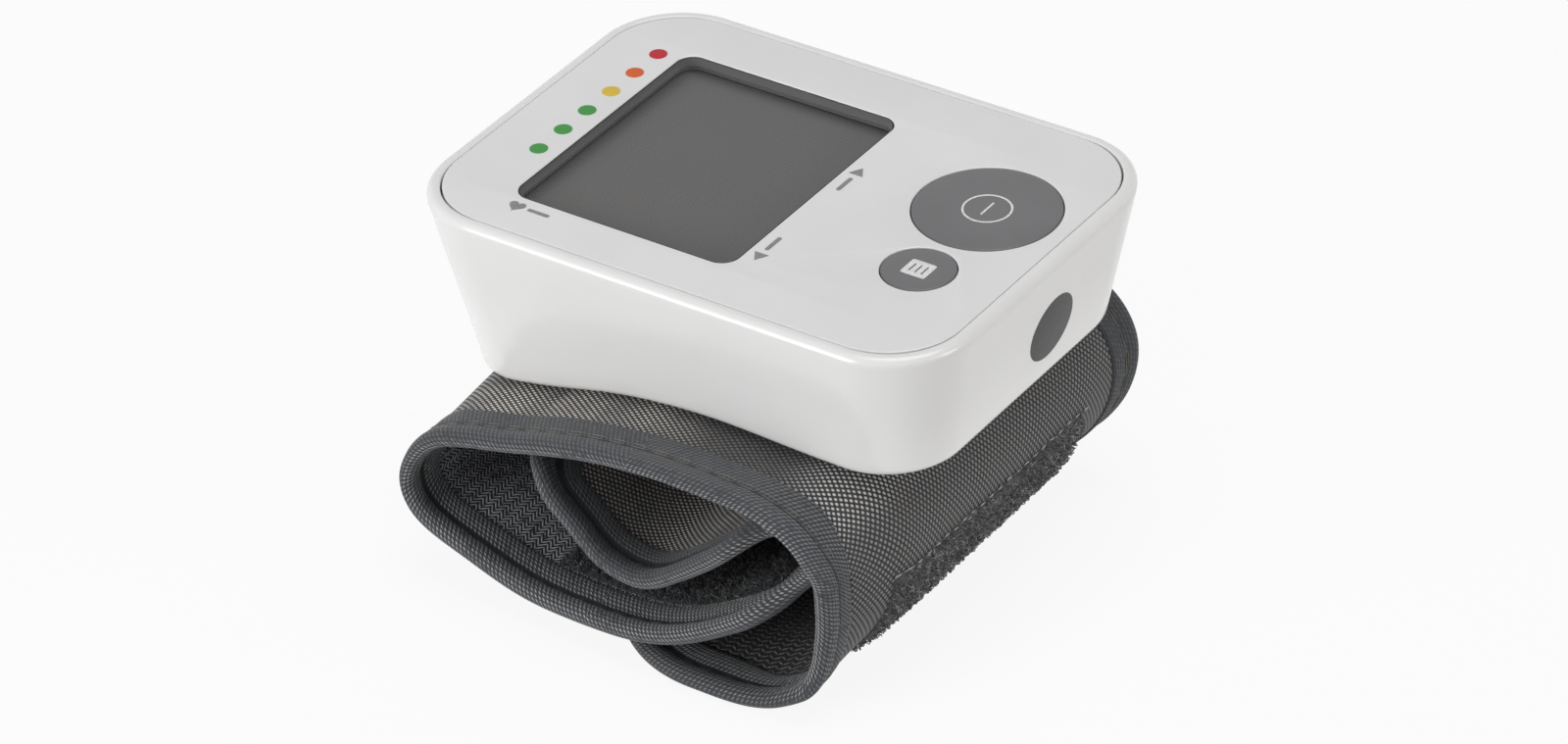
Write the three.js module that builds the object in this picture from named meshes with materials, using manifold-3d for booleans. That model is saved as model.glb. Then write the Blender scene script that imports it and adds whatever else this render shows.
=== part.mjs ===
// Wrist blood pressure monitor: a wedge-shaped moulded unit on a rolled-up fabric cuff.
// Millimetres, +Z up. X runs along the unit's long side towards the buttons, Y runs away from the
// reader, and the origin is on the table under the middle of the object.
import * as THREE from 'three';
import { mergeVertices } from 'three/addons/utils/BufferGeometryUtils.js';
import Module from 'manifold-3d';

const wasm = await Module();
wasm.setup();

// General fits
const CLEARANCE = 0.3;
const SEAT_GAP = 0.2;

// Moulded housing
const LENGTH = 84;
const WIDTH = 62;
const CORNER_RADIUS = 12.5;
const WALL = 2;
const RIM_WIDTH = 2.2;
const RIM_FILLET = 1.5;
const LEFT_TAPER = THREE.MathUtils.degToRad(11.5);
const RIGHT_TAPER = THREE.MathUtils.degToRad(10.5);
const SIDE_TAPER = THREE.MathUtils.degToRad(9.5);
const CORNER_SHRINK = 0.07;
const LEDGE_WIDTH = 2.5;
const LEDGE_THICKNESS = 1.6;

// Underside of the housing, saddled over the wrist: deep at the left end, shallow at the right
const LEFT_DEPTH = 29.6;
const KNEE_DEPTH = 25.6;
const ARCH_DEPTH = 20.4;
const RIGHT_DEPTH = 21;
const KNEE_X = -22;
const ARCH_X = 6;
const RIGHT_FLAT_X = 24;

// Top panel, window and buttons
const PANEL_THICKNESS = 2.2;
const WINDOW_LENGTH = 34.8;
const WINDOW_LEFT_MARGIN = 13.2;
const WINDOW_FRONT_MARGIN = 9.8;
const WINDOW_BACK_MARGIN = 11;
const WINDOW_CORNER = 2.6;
const WINDOW_THICKNESS = 1.4;
const WINDOW_LIP = 1;
const START_BUTTON_DIAMETER = 20.1;
const START_BUTTON_INSET = 14.6;
const START_BUTTON_Y = 7.7;
const MEMORY_BUTTON_DIAMETER = 10.1;
const MEMORY_BUTTON_INSET = 14.5;
const MEMORY_BUTTON_Y = -9;
const BUTTON_FLANGE = 0.65;
const BUTTON_FLANGE_THICKNESS = 0.8;
const BUTTON_STEM_DIAMETER = 4;
const BUTTON_TRAVEL = 0.6;
const BUTTON_EDGE = 0.4;
const BUTTON_CROWN = 0.25;
const DOME_DIAMETER = 7;
const DOME_HEIGHT = 0.7;

// Display and board stack
const LCD_THICKNESS = 1.6;
const LCD_BORDER = 1.1;
const HOLDER_WALL = 1.3;
const HOLDER_SHELF = 1.6;
const HOLDER_SHELF_THICKNESS = 0.8;
const CONTACT_STRIP_WIDTH = 2.2;
const CONTACT_STRIP_LENGTH = 28;
const BOARD_THICKNESS = 1;
const BOARD_DEPTH = 6.2;
const BOARD_LEFT_MARGIN = 8.5;
const BOARD_RIGHT_MARGIN = 6.5;
const BOARD_SIDE_MARGIN = 11;
const BOARD_CORNER = 10;
const BOARD_SCREW_DIAMETER = 1.6;
const BOARD_POST_DIAMETER = 4;
const BOARD_POST_GAP = 0.8;
const BOARD_POST_EDGE = 2.5;
const MOULDED_CORNER = 0.8;

// Rear cover and case screws
const COVER_THICKNESS = 2.2;
const BOSS_DIAMETER = 6;
const BOSS_LEFT_INSET = 36;
const BOSS_LEFT_MARGIN = 8.8;
const BOSS_RIGHT_INSET = 11.5;
const BOSS_RIGHT_MARGIN = 12.2;
const BOSS_RIB = 1.5;
const SCREW_DIAMETER = 2;
const SCREW_LENGTH = 7;
const SCREW_HEAD_DIAMETER = 4;
const SCREW_HEAD_HEIGHT = 0.9;
const SCREW_SINK = 1.1;

// Batteries, size AAA: their length is what the side margins leave of the width
const BATTERY_DIAMETER = 10.5;
const BATTERY_SIDE_MARGIN = 8.75;
const BATTERY_NUB_DIAMETER = 3.8;
const BATTERY_NUB_LENGTH = 1;
const BATTERY_INSET = 14.4;
const BATTERY_PITCH = 11.2;
const CONTACT_THICKNESS = 0.5;
const CONTACT_WIDTH = 7;
const CONTACT_TAB = 4;
const CRADLE_THICKNESS = 1.6;
const CRADLE_Y = 13;
const CRADLE_HEIGHT = 4;

// Battery door, in the left end wall
const DOOR_SIDE_MARGIN = 8;
const DOOR_TOP = 9.5;
const DOOR_BOTTOM = 25;
const DOOR_GRIP_WIDTH = 14;
const DOOR_GRIP_DEPTH = 0.9;
const DOOR_LIP = 1.2;

// Pump, valve and air ways
const PUMP_DIAMETER = 9.8;
const MOTOR_LENGTH = 15;
const PUMP_HEAD = 10.2;
const PUMP_HEAD_LENGTH = 10;
const PUMP_INSET = 13.5;
const PUMP_SIDE_MARGIN = 21.2;
const VALVE_SIZE = 8;
const VALVE_LENGTH = 12;
const VALVE_INSET = 26;
const VALVE_SIDE_MARGIN = 17.5;
const NOZZLE_DIAMETER = 1.6;
const NOZZLE_LENGTH = 3;
const NOZZLE_ROOT = 1;
const MOTOR_STUB = 1.2;
const TUBE_DIAMETER = 3.6;
const TUBE_BEND = 4.6;
const MANIFOLD_INSET = 19;
const MANIFOLD_Y = 3;
const MANIFOLD_SIZE = 7;
const MANIFOLD_HEIGHT = 5;
const NIPPLE_DIAMETER = 3.4;
const NIPPLE_COLLAR = 6;
const NIPPLE_COLLAR_THICKNESS = 0.8;
const SENSOR_SIZE = 7;
const SENSOR_HEIGHT = 2.4;
const SENSOR_PORT_DIAMETER = 2;
const CHIP_SIZE = 10;
const CHIP_HEIGHT = 1.4;
const CHIP_INSET = 35;
const CHIP_FROM_PUMP = 11.8;
const BUZZER_DIAMETER = 9;
const BUZZER_HEIGHT = 2.6;
const BUZZER_HOLE = 3.6;
const BUZZER_PIN = 2;
const BUZZER_HOLE_DEPTH = 0.6;
const BUZZER_INSET = 47;
const BUZZER_SIDE_MARGIN = 18;

// Cuff strip: two fabric skins round a sheet, with a binding tape folded over its edges
const CUFF_WIDTH = 70;
const CUFF_SHIFT = 4;
const SKIN_THICKNESS = 0.45;
const SHEET_THICKNESS = 0.4;
const PLY_GAP = 0.2;
const TAPE_THICKNESS = 0.35;
const TAPE_WIDTH = 6.5;
const SHORT_END_RADIUS = 20;
const LONG_END_RADIUS = 8;
const LEAST_END_RADIUS = 1;
const SHEET_INSET = 8;
const SPLIT_GAP = 0.4;
const SADDLE_GAP = 0.3;

// Course of the strip, from the short end under the roll to the long end inside it
const LOOP_DROP = 32.2;
const LOOP_RIGHT = 36.8;
const LOOP_LEFT = 37;
const SHORT_END_X = -8;
const FLOOR_RUN_END_X = 12;
const WALL_TURN_HEIGHT = 20;
const TOP_RUN_START_X = 24;
const TOP_RUN_END_X = -25.5;
const INNER_FOLD_INSET = 6.2;
const INNER_FOLD_HEIGHT = 23.5;
const INNER_FOLD_RADIUS = 3;
const INNER_FOLD_ANGLES = [-50, -5, 40, 85];

// Middle line of the roll, as distance in from its left side and height above the table
const LEFT_NOSE = [[5.6, 22.5], [2.2, 19.4], [0, 15], [1.2, 11.8], [4, 9.8]];
const LOWER_RUN = [[9, 8.4], [20, 6.1], [31, 4.8], [40, 5.8], [48, 8.8]];

// The same in from its right side, and across the middle of the object for the inner flap
const RIGHT_RISE = [[9.6, 15.6], [6.2, 19.2]];
const INNER_FLAP = [
  [22.2, 26.4], [18.4, 24.1], [14.2, 20.4], [9.2, 16.4], [4.7, 13.3], [0.7, 12.3],
  [-4.6, 13.6], [-10.6, 17.8], [-16.2, 23.8],
];

// Hinge lines, and how far the edges lie askew
const RIGHT_HINGE_X = 29;
const LEFT_HINGE_X = -26;
const SHORT_SKEW = 3.2;
const LOWER_SKEW = 2.6;

// Hook and loop patches
const PATCH_THICKNESS = 1;
const LOOP_PATCH_LENGTH = 18;
const LOOP_PATCH_START = 34;
const LOOP_PATCH_FRONT_INSET = 11;
const LOOP_PATCH_BACK_INSET = 14;
const HOOK_PATCH_LENGTH = 39.5;
const HOOK_PATCH_START = 39.5;
const HOOK_PATCH_INSET = 7;

// Derived sizes
const stripHalf = SHEET_THICKNESS / 2 + PLY_GAP + SKIN_THICKNESS + SEAT_GAP + TAPE_THICKNESS;
const rimHeight = LOOP_DROP + ARCH_DEPTH;
const frontReach = CUFF_WIDTH / 2 + CUFF_SHIFT + SHORT_SKEW;
const backReach = CUFF_WIDTH / 2 - CUFF_SHIFT;
const housingY = (frontReach - backReach) / 2;
const cuffFront = housingY - CUFF_SHIFT - CUFF_WIDTH / 2;
const panelLength = LENGTH - 2 * RIM_WIDTH;
const panelWidth = WIDTH - 2 * RIM_WIDTH;
const panelCorner = CORNER_RADIUS - RIM_WIDTH;
const ledgeTop = -PANEL_THICKNESS - CLEARANCE;
const ledgeBottom = ledgeTop - LEDGE_THICKNESS;
const boardTop = -BOARD_DEPTH;
const boardBottom = boardTop - BOARD_THICKNESS;
const farAway = 2 * LENGTH;

// Places, counted in from the ends and sides of the housing
const leftEnd = -LENGTH / 2;
const rightEnd = LENGTH / 2;
const sideEdge = WIDTH / 2;
const windowWidth = WIDTH - WINDOW_FRONT_MARGIN - WINDOW_BACK_MARGIN;
const windowX = leftEnd + WINDOW_LEFT_MARGIN + WINDOW_LENGTH / 2;
const windowY = (WINDOW_FRONT_MARGIN - WINDOW_BACK_MARGIN) / 2;
const boardLength = LENGTH - BOARD_LEFT_MARGIN - BOARD_RIGHT_MARGIN;
const boardWidth = WIDTH - 2 * BOARD_SIDE_MARGIN;
const boardX = (BOARD_LEFT_MARGIN - BOARD_RIGHT_MARGIN) / 2;
const holderRight = windowX + WINDOW_LENGTH / 2 + LCD_BORDER + CLEARANCE + HOLDER_WALL;
const boardPostX = holderRight + BOARD_POST_GAP + BOARD_POST_DIAMETER / 2;
const boardPostY = boardWidth / 2 - BOARD_POST_EDGE;
const batteryX = [leftEnd + BATTERY_INSET, leftEnd + BATTERY_INSET + BATTERY_PITCH];
const batteryLength = WIDTH - 2 * BATTERY_SIDE_MARGIN;
const doorWidth = WIDTH - 2 * DOOR_SIDE_MARGIN;
const pumpX = rightEnd - PUMP_INSET - PUMP_HEAD_LENGTH - MOTOR_LENGTH;
const pumpY = -sideEdge + PUMP_SIDE_MARGIN;
const valveX = rightEnd - VALVE_INSET - VALVE_LENGTH;
const valveY = sideEdge - VALVE_SIDE_MARGIN;
const manifoldX = rightEnd - MANIFOLD_INSET;
const chipX = rightEnd - CHIP_INSET;
const chipY = pumpY + CHIP_FROM_PUMP;
const buzzerX = rightEnd - BUZZER_INSET;
const buzzerY = sideEdge - BUZZER_SIDE_MARGIN;

// Facet counts
const cornerSteps = 6;
const arcSteps = 4;
const roundSteps = 28;
const smallRoundSteps = 14;
const holeSteps = 12;
const baySteps = 24;

const buttons = [
  [START_BUTTON_DIAMETER, rightEnd - START_BUTTON_INSET, START_BUTTON_Y],
  [MEMORY_BUTTON_DIAMETER, rightEnd - MEMORY_BUTTON_INSET, MEMORY_BUTTON_Y],
];

// Closed geometry to solid, and back
function solid(geometry) {
  const bare = geometry.clone();
  bare.deleteAttribute('normal');
  bare.deleteAttribute('uv');
  const merged = mergeVertices(bare, 1e-4);
  return new wasm.Manifold(new wasm.Mesh({
    numProp: 3,
    vertProperties: Float32Array.from(merged.attributes.position.array),
    triVerts: Uint32Array.from(merged.index.array),
  }));
}

function surface(body) {
  const mesh = body.getMesh();
  const geometry = new THREE.BufferGeometry();
  geometry.setAttribute('position', new THREE.BufferAttribute(mesh.vertProperties, 3));
  geometry.setIndex(new THREE.BufferAttribute(mesh.triVerts, 1));
  geometry.computeVertexNormals();
  return geometry;
}

// Basic forms
function roundedRectangle(length, width, radius, x = 0, y = 0) {
  const left = x - length / 2;
  const right = x + length / 2;
  const front = y - width / 2;
  const back = y + width / 2;
  const shape = new THREE.Shape();
  shape.absarc(right - radius, front + radius, radius, -Math.PI / 2, 0);
  shape.absarc(right - radius, back - radius, radius, 0, Math.PI / 2);
  shape.absarc(left + radius, back - radius, radius, Math.PI / 2, Math.PI);
  shape.absarc(left + radius, front + radius, radius, Math.PI, 1.5 * Math.PI);
  return shape;
}

function prism(shape, bottom, top) {
  const options = { depth: top - bottom, bevelEnabled: false, curveSegments: arcSteps };
  return new THREE.ExtrudeGeometry(shape, options).translate(0, 0, bottom);
}

// Outline in X and Z, drawn out along Y
function prismAlongY(shape, front, back) {
  const options = { depth: back - front, bevelEnabled: false, curveSegments: cornerSteps };
  return new THREE.ExtrudeGeometry(shape, options).rotateX(Math.PI / 2).translate(0, back, 0);
}

function block(left, right, front, back, bottom, top) {
  const geometry = new THREE.BoxGeometry(right - left, back - front, top - bottom);
  return geometry.translate((left + right) / 2, (front + back) / 2, (bottom + top) / 2);
}

function disc(diameter, bottom, top, x = 0, y = 0, steps = roundSteps) {
  const geometry = new THREE.CylinderGeometry(diameter / 2, diameter / 2, top - bottom, steps);
  return geometry.rotateX(Math.PI / 2).translate(x, y, (bottom + top) / 2);
}

function barAlongX(diameter, left, right, y, z, steps = smallRoundSteps) {
  const geometry = new THREE.CylinderGeometry(diameter / 2, diameter / 2, right - left, steps);
  return geometry.rotateZ(Math.PI / 2).translate((left + right) / 2, y, z);
}

function barAlongY(diameter, front, back, x, z, steps = smallRoundSteps) {
  const geometry = new THREE.CylinderGeometry(diameter / 2, diameter / 2, back - front, steps);
  return geometry.translate(x, (front + back) / 2, z);
}

// Profile of radius and height pairs, turned about the upright axis
function turned(profile, x, y, steps = roundSteps) {
  const points = profile.map(([radius, height]) => new THREE.Vector2(radius, height));
  return new THREE.LatheGeometry(points, steps).rotateX(Math.PI / 2).translate(x, y, 0);
}

// Skin over rings of equal point count, listed from the bottom up, closed by a fan at each end
function loft(rings) {
  const count = rings[0].length;
  const points = rings.flat();
  const triangles = [];
  for (let level = 0; level + 1 < rings.length; level += 1) {
    for (let i = 0; i < count; i += 1) {
      const a = level * count + i;
      const b = level * count + (i + 1) % count;
      triangles.push(a, b, b + count, a, b + count, a + count);
    }
  }
  const last = (rings.length - 1) * count;
  for (let i = 1; i + 1 < count; i += 1) {
    triangles.push(0, i + 1, i, last, last + i, last + i + 1);
  }
  const geometry = new THREE.BufferGeometry().setFromPoints(points);
  geometry.setIndex(triangles);
  return geometry;
}

// Housing wall: a rounded rectangle at each height, drawn in by the taper and by an inset
function wallRing(z, inset) {
  const depth = -z;
  const left = leftEnd + depth * Math.tan(LEFT_TAPER) + inset;
  const right = rightEnd - depth * Math.tan(RIGHT_TAPER) - inset;
  const side = sideEdge - depth * Math.tan(SIDE_TAPER) - inset;
  const radius = Math.max(CORNER_RADIUS - depth * CORNER_SHRINK - inset, 1);
  const corners = [
    [right - radius, -side + radius, -Math.PI / 2],
    [right - radius, side - radius, 0],
    [left + radius, side - radius, Math.PI / 2],
    [left + radius, -side + radius, Math.PI],
  ];
  const ring = [];
  for (const [x, y, start] of corners) {
    for (let step = 0; step <= cornerSteps; step += 1) {
      const angle = start + (Math.PI / 2) * (step / cornerSteps);
      ring.push(new THREE.Vector3(x + radius * Math.cos(angle), y + radius * Math.sin(angle), z));
    }
  }
  return ring;
}

const deepest = -LEFT_DEPTH - WALL;
const filletAngles = [0, 1, 2, 3].map((step) => (Math.PI / 2) * (step / 3));
const outerRings = [wallRing(deepest, 0)];
for (const angle of filletAngles) {
  const z = -RIM_FILLET * (1 - Math.sin(angle));
  outerRings.push(wallRing(z, RIM_FILLET * (1 - Math.cos(angle))));
}
const housingBlock = solid(loft(outerRings));

function cavity(inset, top) {
  return solid(loft([wallRing(deepest - WALL, inset), wallRing(top, inset)]));
}

const undersideCurve = new THREE.SplineCurve([
  new THREE.Vector2(leftEnd, -LEFT_DEPTH),
  new THREE.Vector2(KNEE_X, -KNEE_DEPTH),
  new THREE.Vector2((KNEE_X + ARCH_X) / 2, -0.3 * KNEE_DEPTH - 0.7 * ARCH_DEPTH),
  new THREE.Vector2(ARCH_X, -ARCH_DEPTH),
  new THREE.Vector2(RIGHT_FLAT_X, -RIGHT_DEPTH),
  new THREE.Vector2(rightEnd, -RIGHT_DEPTH),
]);
const undersidePoints = undersideCurve.getPoints(40);

// Height of the underside, counted from the rim, above or below a given X
function undersideAt(x) {
  const next = undersidePoints.findIndex((point) => point.x >= x);
  const b = undersidePoints[Math.max(next, 1)];
  const a = undersidePoints[Math.max(next, 1) - 1];
  return THREE.MathUtils.lerp(a.y, b.y, (x - a.x) / (b.x - a.x));
}

// Everything between two offsets of the underside, drawn out across the housing
function undersideBand(low, high) {
  const shape = new THREE.Shape();
  shape.setFromPoints([
    ...undersidePoints.map((point) => new THREE.Vector2(point.x, point.y + high)).reverse(),
    ...undersidePoints.map((point) => new THREE.Vector2(point.x, point.y + low)),
  ]);
  return solid(prismAlongY(shape, -WIDTH, WIDTH));
}

const bossPlaces = [
  [leftEnd + BOSS_LEFT_INSET, -sideEdge + BOSS_LEFT_MARGIN],
  [leftEnd + BOSS_LEFT_INSET, sideEdge - BOSS_LEFT_MARGIN],
  [rightEnd - BOSS_RIGHT_INSET, -sideEdge + BOSS_RIGHT_MARGIN],
  [rightEnd - BOSS_RIGHT_INSET, sideEdge - BOSS_RIGHT_MARGIN],
];
const coverTopAt = (x) => undersideAt(x) + COVER_THICKNESS;
const bossFoot = (x) => coverTopAt(x) + CLEARANCE + BOSS_DIAMETER / 8;
const bossTop = boardBottom - CLEARANCE;

// Housing shell: outer form, less the panel recess, the ledge opening, the cavity and the door
function doorBlock(gap) {
  const half = doorWidth / 2 + gap;
  const reach = leftEnd + DOOR_BOTTOM * Math.tan(LEFT_TAPER) + 2 * WALL;
  return solid(block(-LENGTH, reach, -half, half, -DOOR_BOTTOM - gap, -DOOR_TOP + gap));
}

const panelRecess = solid(prism(
  roundedRectangle(
    panelLength + 2 * CLEARANCE,
    panelWidth + 2 * CLEARANCE,
    panelCorner + CLEARANCE,
  ),
  ledgeTop,
  WALL,
));
const ledgeOpening = solid(prism(
  roundedRectangle(
    panelLength - 2 * LEDGE_WIDTH,
    panelWidth - 2 * LEDGE_WIDTH,
    panelCorner - LEDGE_WIDTH,
  ),
  ledgeBottom - WALL,
  ledgeTop + WALL,
));
const wallOnly = housingBlock.subtract(cavity(WALL, ledgeBottom)).subtract(undersideBand(-farAway, 0));

let housing = wallOnly.subtract(panelRecess).subtract(ledgeOpening).subtract(doorBlock(CLEARANCE));
for (const [diameter, x, y] of buttons) {
  const relief = diameter + 2 * BUTTON_FLANGE + 2 * CLEARANCE;
  housing = housing.subtract(solid(disc(relief, ledgeBottom - WALL, ledgeTop + WALL, x, y)));
}
for (const [x, y] of bossPlaces) {
  const foot = bossFoot(x);
  const outside = Math.sign(y) * sideEdge;
  const column = solid(disc(BOSS_DIAMETER, foot, bossTop, x, y, smallRoundSteps));
  const rib = block(
    x - BOSS_RIB / 2,
    x + BOSS_RIB / 2,
    Math.min(y, outside),
    Math.max(y, outside),
    foot,
    bossTop,
  );
  const pilot = disc(SCREW_DIAMETER + CLEARANCE, foot - WALL, bossTop - WALL, x, y, holeSteps);
  housing = housing.add(column.add(solid(rib)).intersect(housingBlock)).subtract(solid(pilot));
}

// Battery door: the piece of wall cut out of the shell, with finger ribs and a lip behind the wall
const doorWall = wallOnly.intersect(doorBlock(0));
const lipLeft = leftEnd + DOOR_BOTTOM * Math.tan(LEFT_TAPER) + WALL - DOOR_LIP;
const doorLip = solid(block(
  lipLeft,
  lipLeft + 2 * DOOR_LIP,
  -DOOR_GRIP_WIDTH / 2,
  DOOR_GRIP_WIDTH / 2,
  -DOOR_BOTTOM,
  -DOOR_BOTTOM + DOOR_LIP,
));
let door = doorWall.add(doorLip);
for (let rib = 0; rib < 3; rib += 1) {
  const z = -DOOR_TOP - 3 - 2 * rib;
  const outside = leftEnd - z * Math.tan(LEFT_TAPER);
  const groove = block(
    outside - WALL,
    outside + DOOR_GRIP_DEPTH,
    -DOOR_GRIP_WIDTH / 2,
    DOOR_GRIP_WIDTH / 2,
    z - DOOR_GRIP_DEPTH / 2,
    z + DOOR_GRIP_DEPTH / 2,
  );
  door = door.subtract(solid(groove));
}

// Top panel with its window step, button holes and board posts
const windowShape = (grow) => roundedRectangle(
  WINDOW_LENGTH + 2 * grow,
  windowWidth + 2 * grow,
  WINDOW_CORNER + grow,
  windowX,
  windowY,
);
const boardPosts = [
  [boardPostX, boardPostY],
  [boardPostX, -boardPostY],
];
let panel = solid(prism(roundedRectangle(panelLength, panelWidth, panelCorner), -PANEL_THICKNESS, 0));
panel = panel.subtract(solid(prism(windowShape(0), -WINDOW_THICKNESS - SEAT_GAP, WALL)));
panel = panel.subtract(solid(prism(windowShape(-WINDOW_LIP), -2 * PANEL_THICKNESS, WALL)));
for (const [diameter, x, y] of buttons) {
  panel = panel.subtract(solid(disc(diameter + 2 * CLEARANCE, -2 * PANEL_THICKNESS, WALL, x, y)));
}
const postFoot = boardTop + SEAT_GAP;
for (const [x, y] of boardPosts) {
  const post = disc(BOARD_POST_DIAMETER, postFoot, -PANEL_THICKNESS / 2, x, y, smallRoundSteps);
  const pilot = disc(BOARD_SCREW_DIAMETER + CLEARANCE, postFoot - WALL, -PANEL_THICKNESS, x, y, holeSteps);
  panel = panel.add(solid(post)).subtract(solid(pilot));
}
const displayWindow = prism(windowShape(-SEAT_GAP), -WINDOW_THICKNESS, 0);

// Push button: crowned cap through the panel, retaining flange behind it, stem to its switch
const flangeTop = -PANEL_THICKNESS - CLEARANCE;
const flangeBottom = flangeTop - BUTTON_FLANGE_THICKNESS;
const domeTop = boardTop + SEAT_GAP + DOME_HEIGHT;
function button([diameter, x, y]) {
  const radius = diameter / 2;
  const stemFoot = domeTop + BUTTON_TRAVEL + SEAT_GAP;
  return turned([
    [0, stemFoot],
    [BUTTON_STEM_DIAMETER / 2, stemFoot],
    [BUTTON_STEM_DIAMETER / 2, flangeBottom],
    [radius + BUTTON_FLANGE, flangeBottom],
    [radius + BUTTON_FLANGE, flangeTop],
    [radius, flangeTop],
    [radius, -BUTTON_EDGE - BUTTON_CROWN],
    [radius - BUTTON_EDGE / 3, -BUTTON_EDGE / 3 - BUTTON_CROWN],
    [radius - BUTTON_EDGE, -BUTTON_CROWN],
    [radius / 2, -BUTTON_CROWN / 4],
    [0, 0],
  ], x, y);
}

function switchDome([, x, y]) {
  const radius = DOME_DIAMETER / 2;
  const foot = boardTop + SEAT_GAP;
  return turned([
    [0, foot],
    [radius, foot],
    [radius * 0.9, foot + DOME_HEIGHT * 0.4],
    [radius * 0.5, foot + DOME_HEIGHT * 0.9],
    [0, foot + DOME_HEIGHT],
  ], x, y, smallRoundSteps);
}

// Display: glass in a shelf frame, on two contact strips that press on the board
const lcdTop = -PANEL_THICKNESS - CLEARANCE;
const lcdBottom = lcdTop - LCD_THICKNESS;
const lcdLength = WINDOW_LENGTH + 2 * LCD_BORDER;
const lcdWidth = windowWidth + 2 * LCD_BORDER;
const lcdPanel = prism(
  roundedRectangle(lcdLength, lcdWidth, MOULDED_CORNER, windowX, windowY),
  lcdBottom,
  lcdTop,
);
const holderLength = lcdLength + 2 * CLEARANCE + 2 * HOLDER_WALL;
const holderWidth = lcdWidth + 2 * CLEARANCE + 2 * HOLDER_WALL;
const holderFoot = boardTop + SEAT_GAP;
const lcdPocket = roundedRectangle(
  lcdLength + 2 * CLEARANCE,
  lcdWidth + 2 * CLEARANCE,
  MOULDED_CORNER,
  windowX,
  windowY,
);
const shelfOpening = roundedRectangle(
  lcdLength - 2 * HOLDER_SHELF,
  lcdWidth - 2 * HOLDER_SHELF,
  MOULDED_CORNER,
  windowX,
  windowY,
);
const lcdHolder = solid(prism(
  roundedRectangle(holderLength, holderWidth, MOULDED_CORNER + HOLDER_WALL, windowX, windowY),
  holderFoot,
  lcdTop,
))
  .subtract(solid(prism(lcdPocket, lcdBottom - SEAT_GAP, WALL)))
  .subtract(solid(prism(lcdPocket, boardTop - WALL, lcdBottom - SEAT_GAP - HOLDER_SHELF_THICKNESS)))
  .subtract(solid(prism(shelfOpening, boardTop - WALL, WALL)));

function contactStrip(side) {
  const middle = windowY + side * (lcdWidth / 2 - HOLDER_SHELF - CLEARANCE - CONTACT_STRIP_WIDTH / 2);
  return block(
    windowX - CONTACT_STRIP_LENGTH / 2,
    windowX + CONTACT_STRIP_LENGTH / 2,
    middle - CONTACT_STRIP_WIDTH / 2,
    middle + CONTACT_STRIP_WIDTH / 2,
    boardTop + SEAT_GAP,
    lcdBottom - SEAT_GAP,
  );
}

// Circuit board and what is soldered under it
let board = solid(prism(
  roundedRectangle(boardLength, boardWidth, BOARD_CORNER, boardX),
  boardBottom,
  boardTop,
));
for (const [x, y] of boardPosts) {
  board = board.subtract(solid(disc(BOARD_SCREW_DIAMETER + CLEARANCE, -farAway, farAway, x, y, holeSteps)));
}

function screw(x, y, headFoot, diameter, headDiameter, headHeight, length) {
  const headTop = headFoot + headHeight;
  const profile = [
    [0, headFoot],
    [headDiameter / 2 - headHeight / 3, headFoot],
    [headDiameter / 2, headFoot + headHeight / 2],
    [headDiameter / 2, headTop],
    [diameter / 2, headTop],
    [diameter / 2, headTop + length - diameter / 2],
    [0, headTop + length],
  ];
  const body = solid(turned(profile, x, y, smallRoundSteps));
  const arm = headDiameter * 0.3;
  const wide = headDiameter * 0.09;
  const deep = headFoot + headHeight * 0.55;
  const crossX = solid(block(x - arm, x + arm, y - wide, y + wide, headFoot - 1, deep));
  const crossY = solid(block(x - wide, x + wide, y - arm, y + arm, headFoot - 1, deep));
  return surface(body.subtract(crossX).subtract(crossY));
}

const boardScrewHead = BOARD_SCREW_DIAMETER * 1.9;
const boardScrewHeadHeight = BOARD_SCREW_DIAMETER * 0.6;
const boardScrewLength = -PANEL_THICKNESS - boardBottom - 2 * CLEARANCE;
function boardScrew([x, y]) {
  const headFoot = boardBottom - SEAT_GAP - boardScrewHeadHeight;
  return screw(
    x,
    y,
    headFoot,
    BOARD_SCREW_DIAMETER,
    boardScrewHead,
    boardScrewHeadHeight,
    boardScrewLength,
  );
}

const partTop = boardBottom - SEAT_GAP;
const controllerChip = prism(
  roundedRectangle(CHIP_SIZE, CHIP_SIZE, MOULDED_CORNER, chipX, chipY),
  partTop - CHIP_HEIGHT,
  partTop,
);
const buzzerFoot = partTop - BUZZER_HEIGHT;
const buzzer = turned([
  [0, buzzerFoot],
  [BUZZER_PIN / 2, buzzerFoot],
  [BUZZER_PIN / 2, buzzerFoot + BUZZER_HOLE_DEPTH],
  [BUZZER_HOLE / 2, buzzerFoot + BUZZER_HOLE_DEPTH],
  [BUZZER_HOLE / 2, buzzerFoot],
  [BUZZER_DIAMETER / 2, buzzerFoot],
  [BUZZER_DIAMETER / 2, partTop],
  [0, partTop],
], buzzerX, buzzerY, smallRoundSteps);

// Air ways: sensor over a manifold, fed by the pump and vented by the valve
const manifoldTop = partTop - SENSOR_HEIGHT - SEAT_GAP;
const manifoldBottom = manifoldTop - MANIFOLD_HEIGHT;
const airZ = manifoldTop - MANIFOLD_HEIGHT / 2;
const manifoldHalf = MANIFOLD_SIZE / 2;
const sensor = solid(block(
  manifoldX - SENSOR_SIZE / 2,
  manifoldX + SENSOR_SIZE / 2,
  MANIFOLD_Y - SENSOR_SIZE / 2,
  MANIFOLD_Y + SENSOR_SIZE / 2,
  partTop - SENSOR_HEIGHT,
  partTop,
)).add(solid(disc(
  SENSOR_PORT_DIAMETER,
  manifoldTop - MANIFOLD_HEIGHT / 4,
  partTop - SENSOR_HEIGHT / 2,
  manifoldX,
  MANIFOLD_Y,
  holeSteps,
)));

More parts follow.
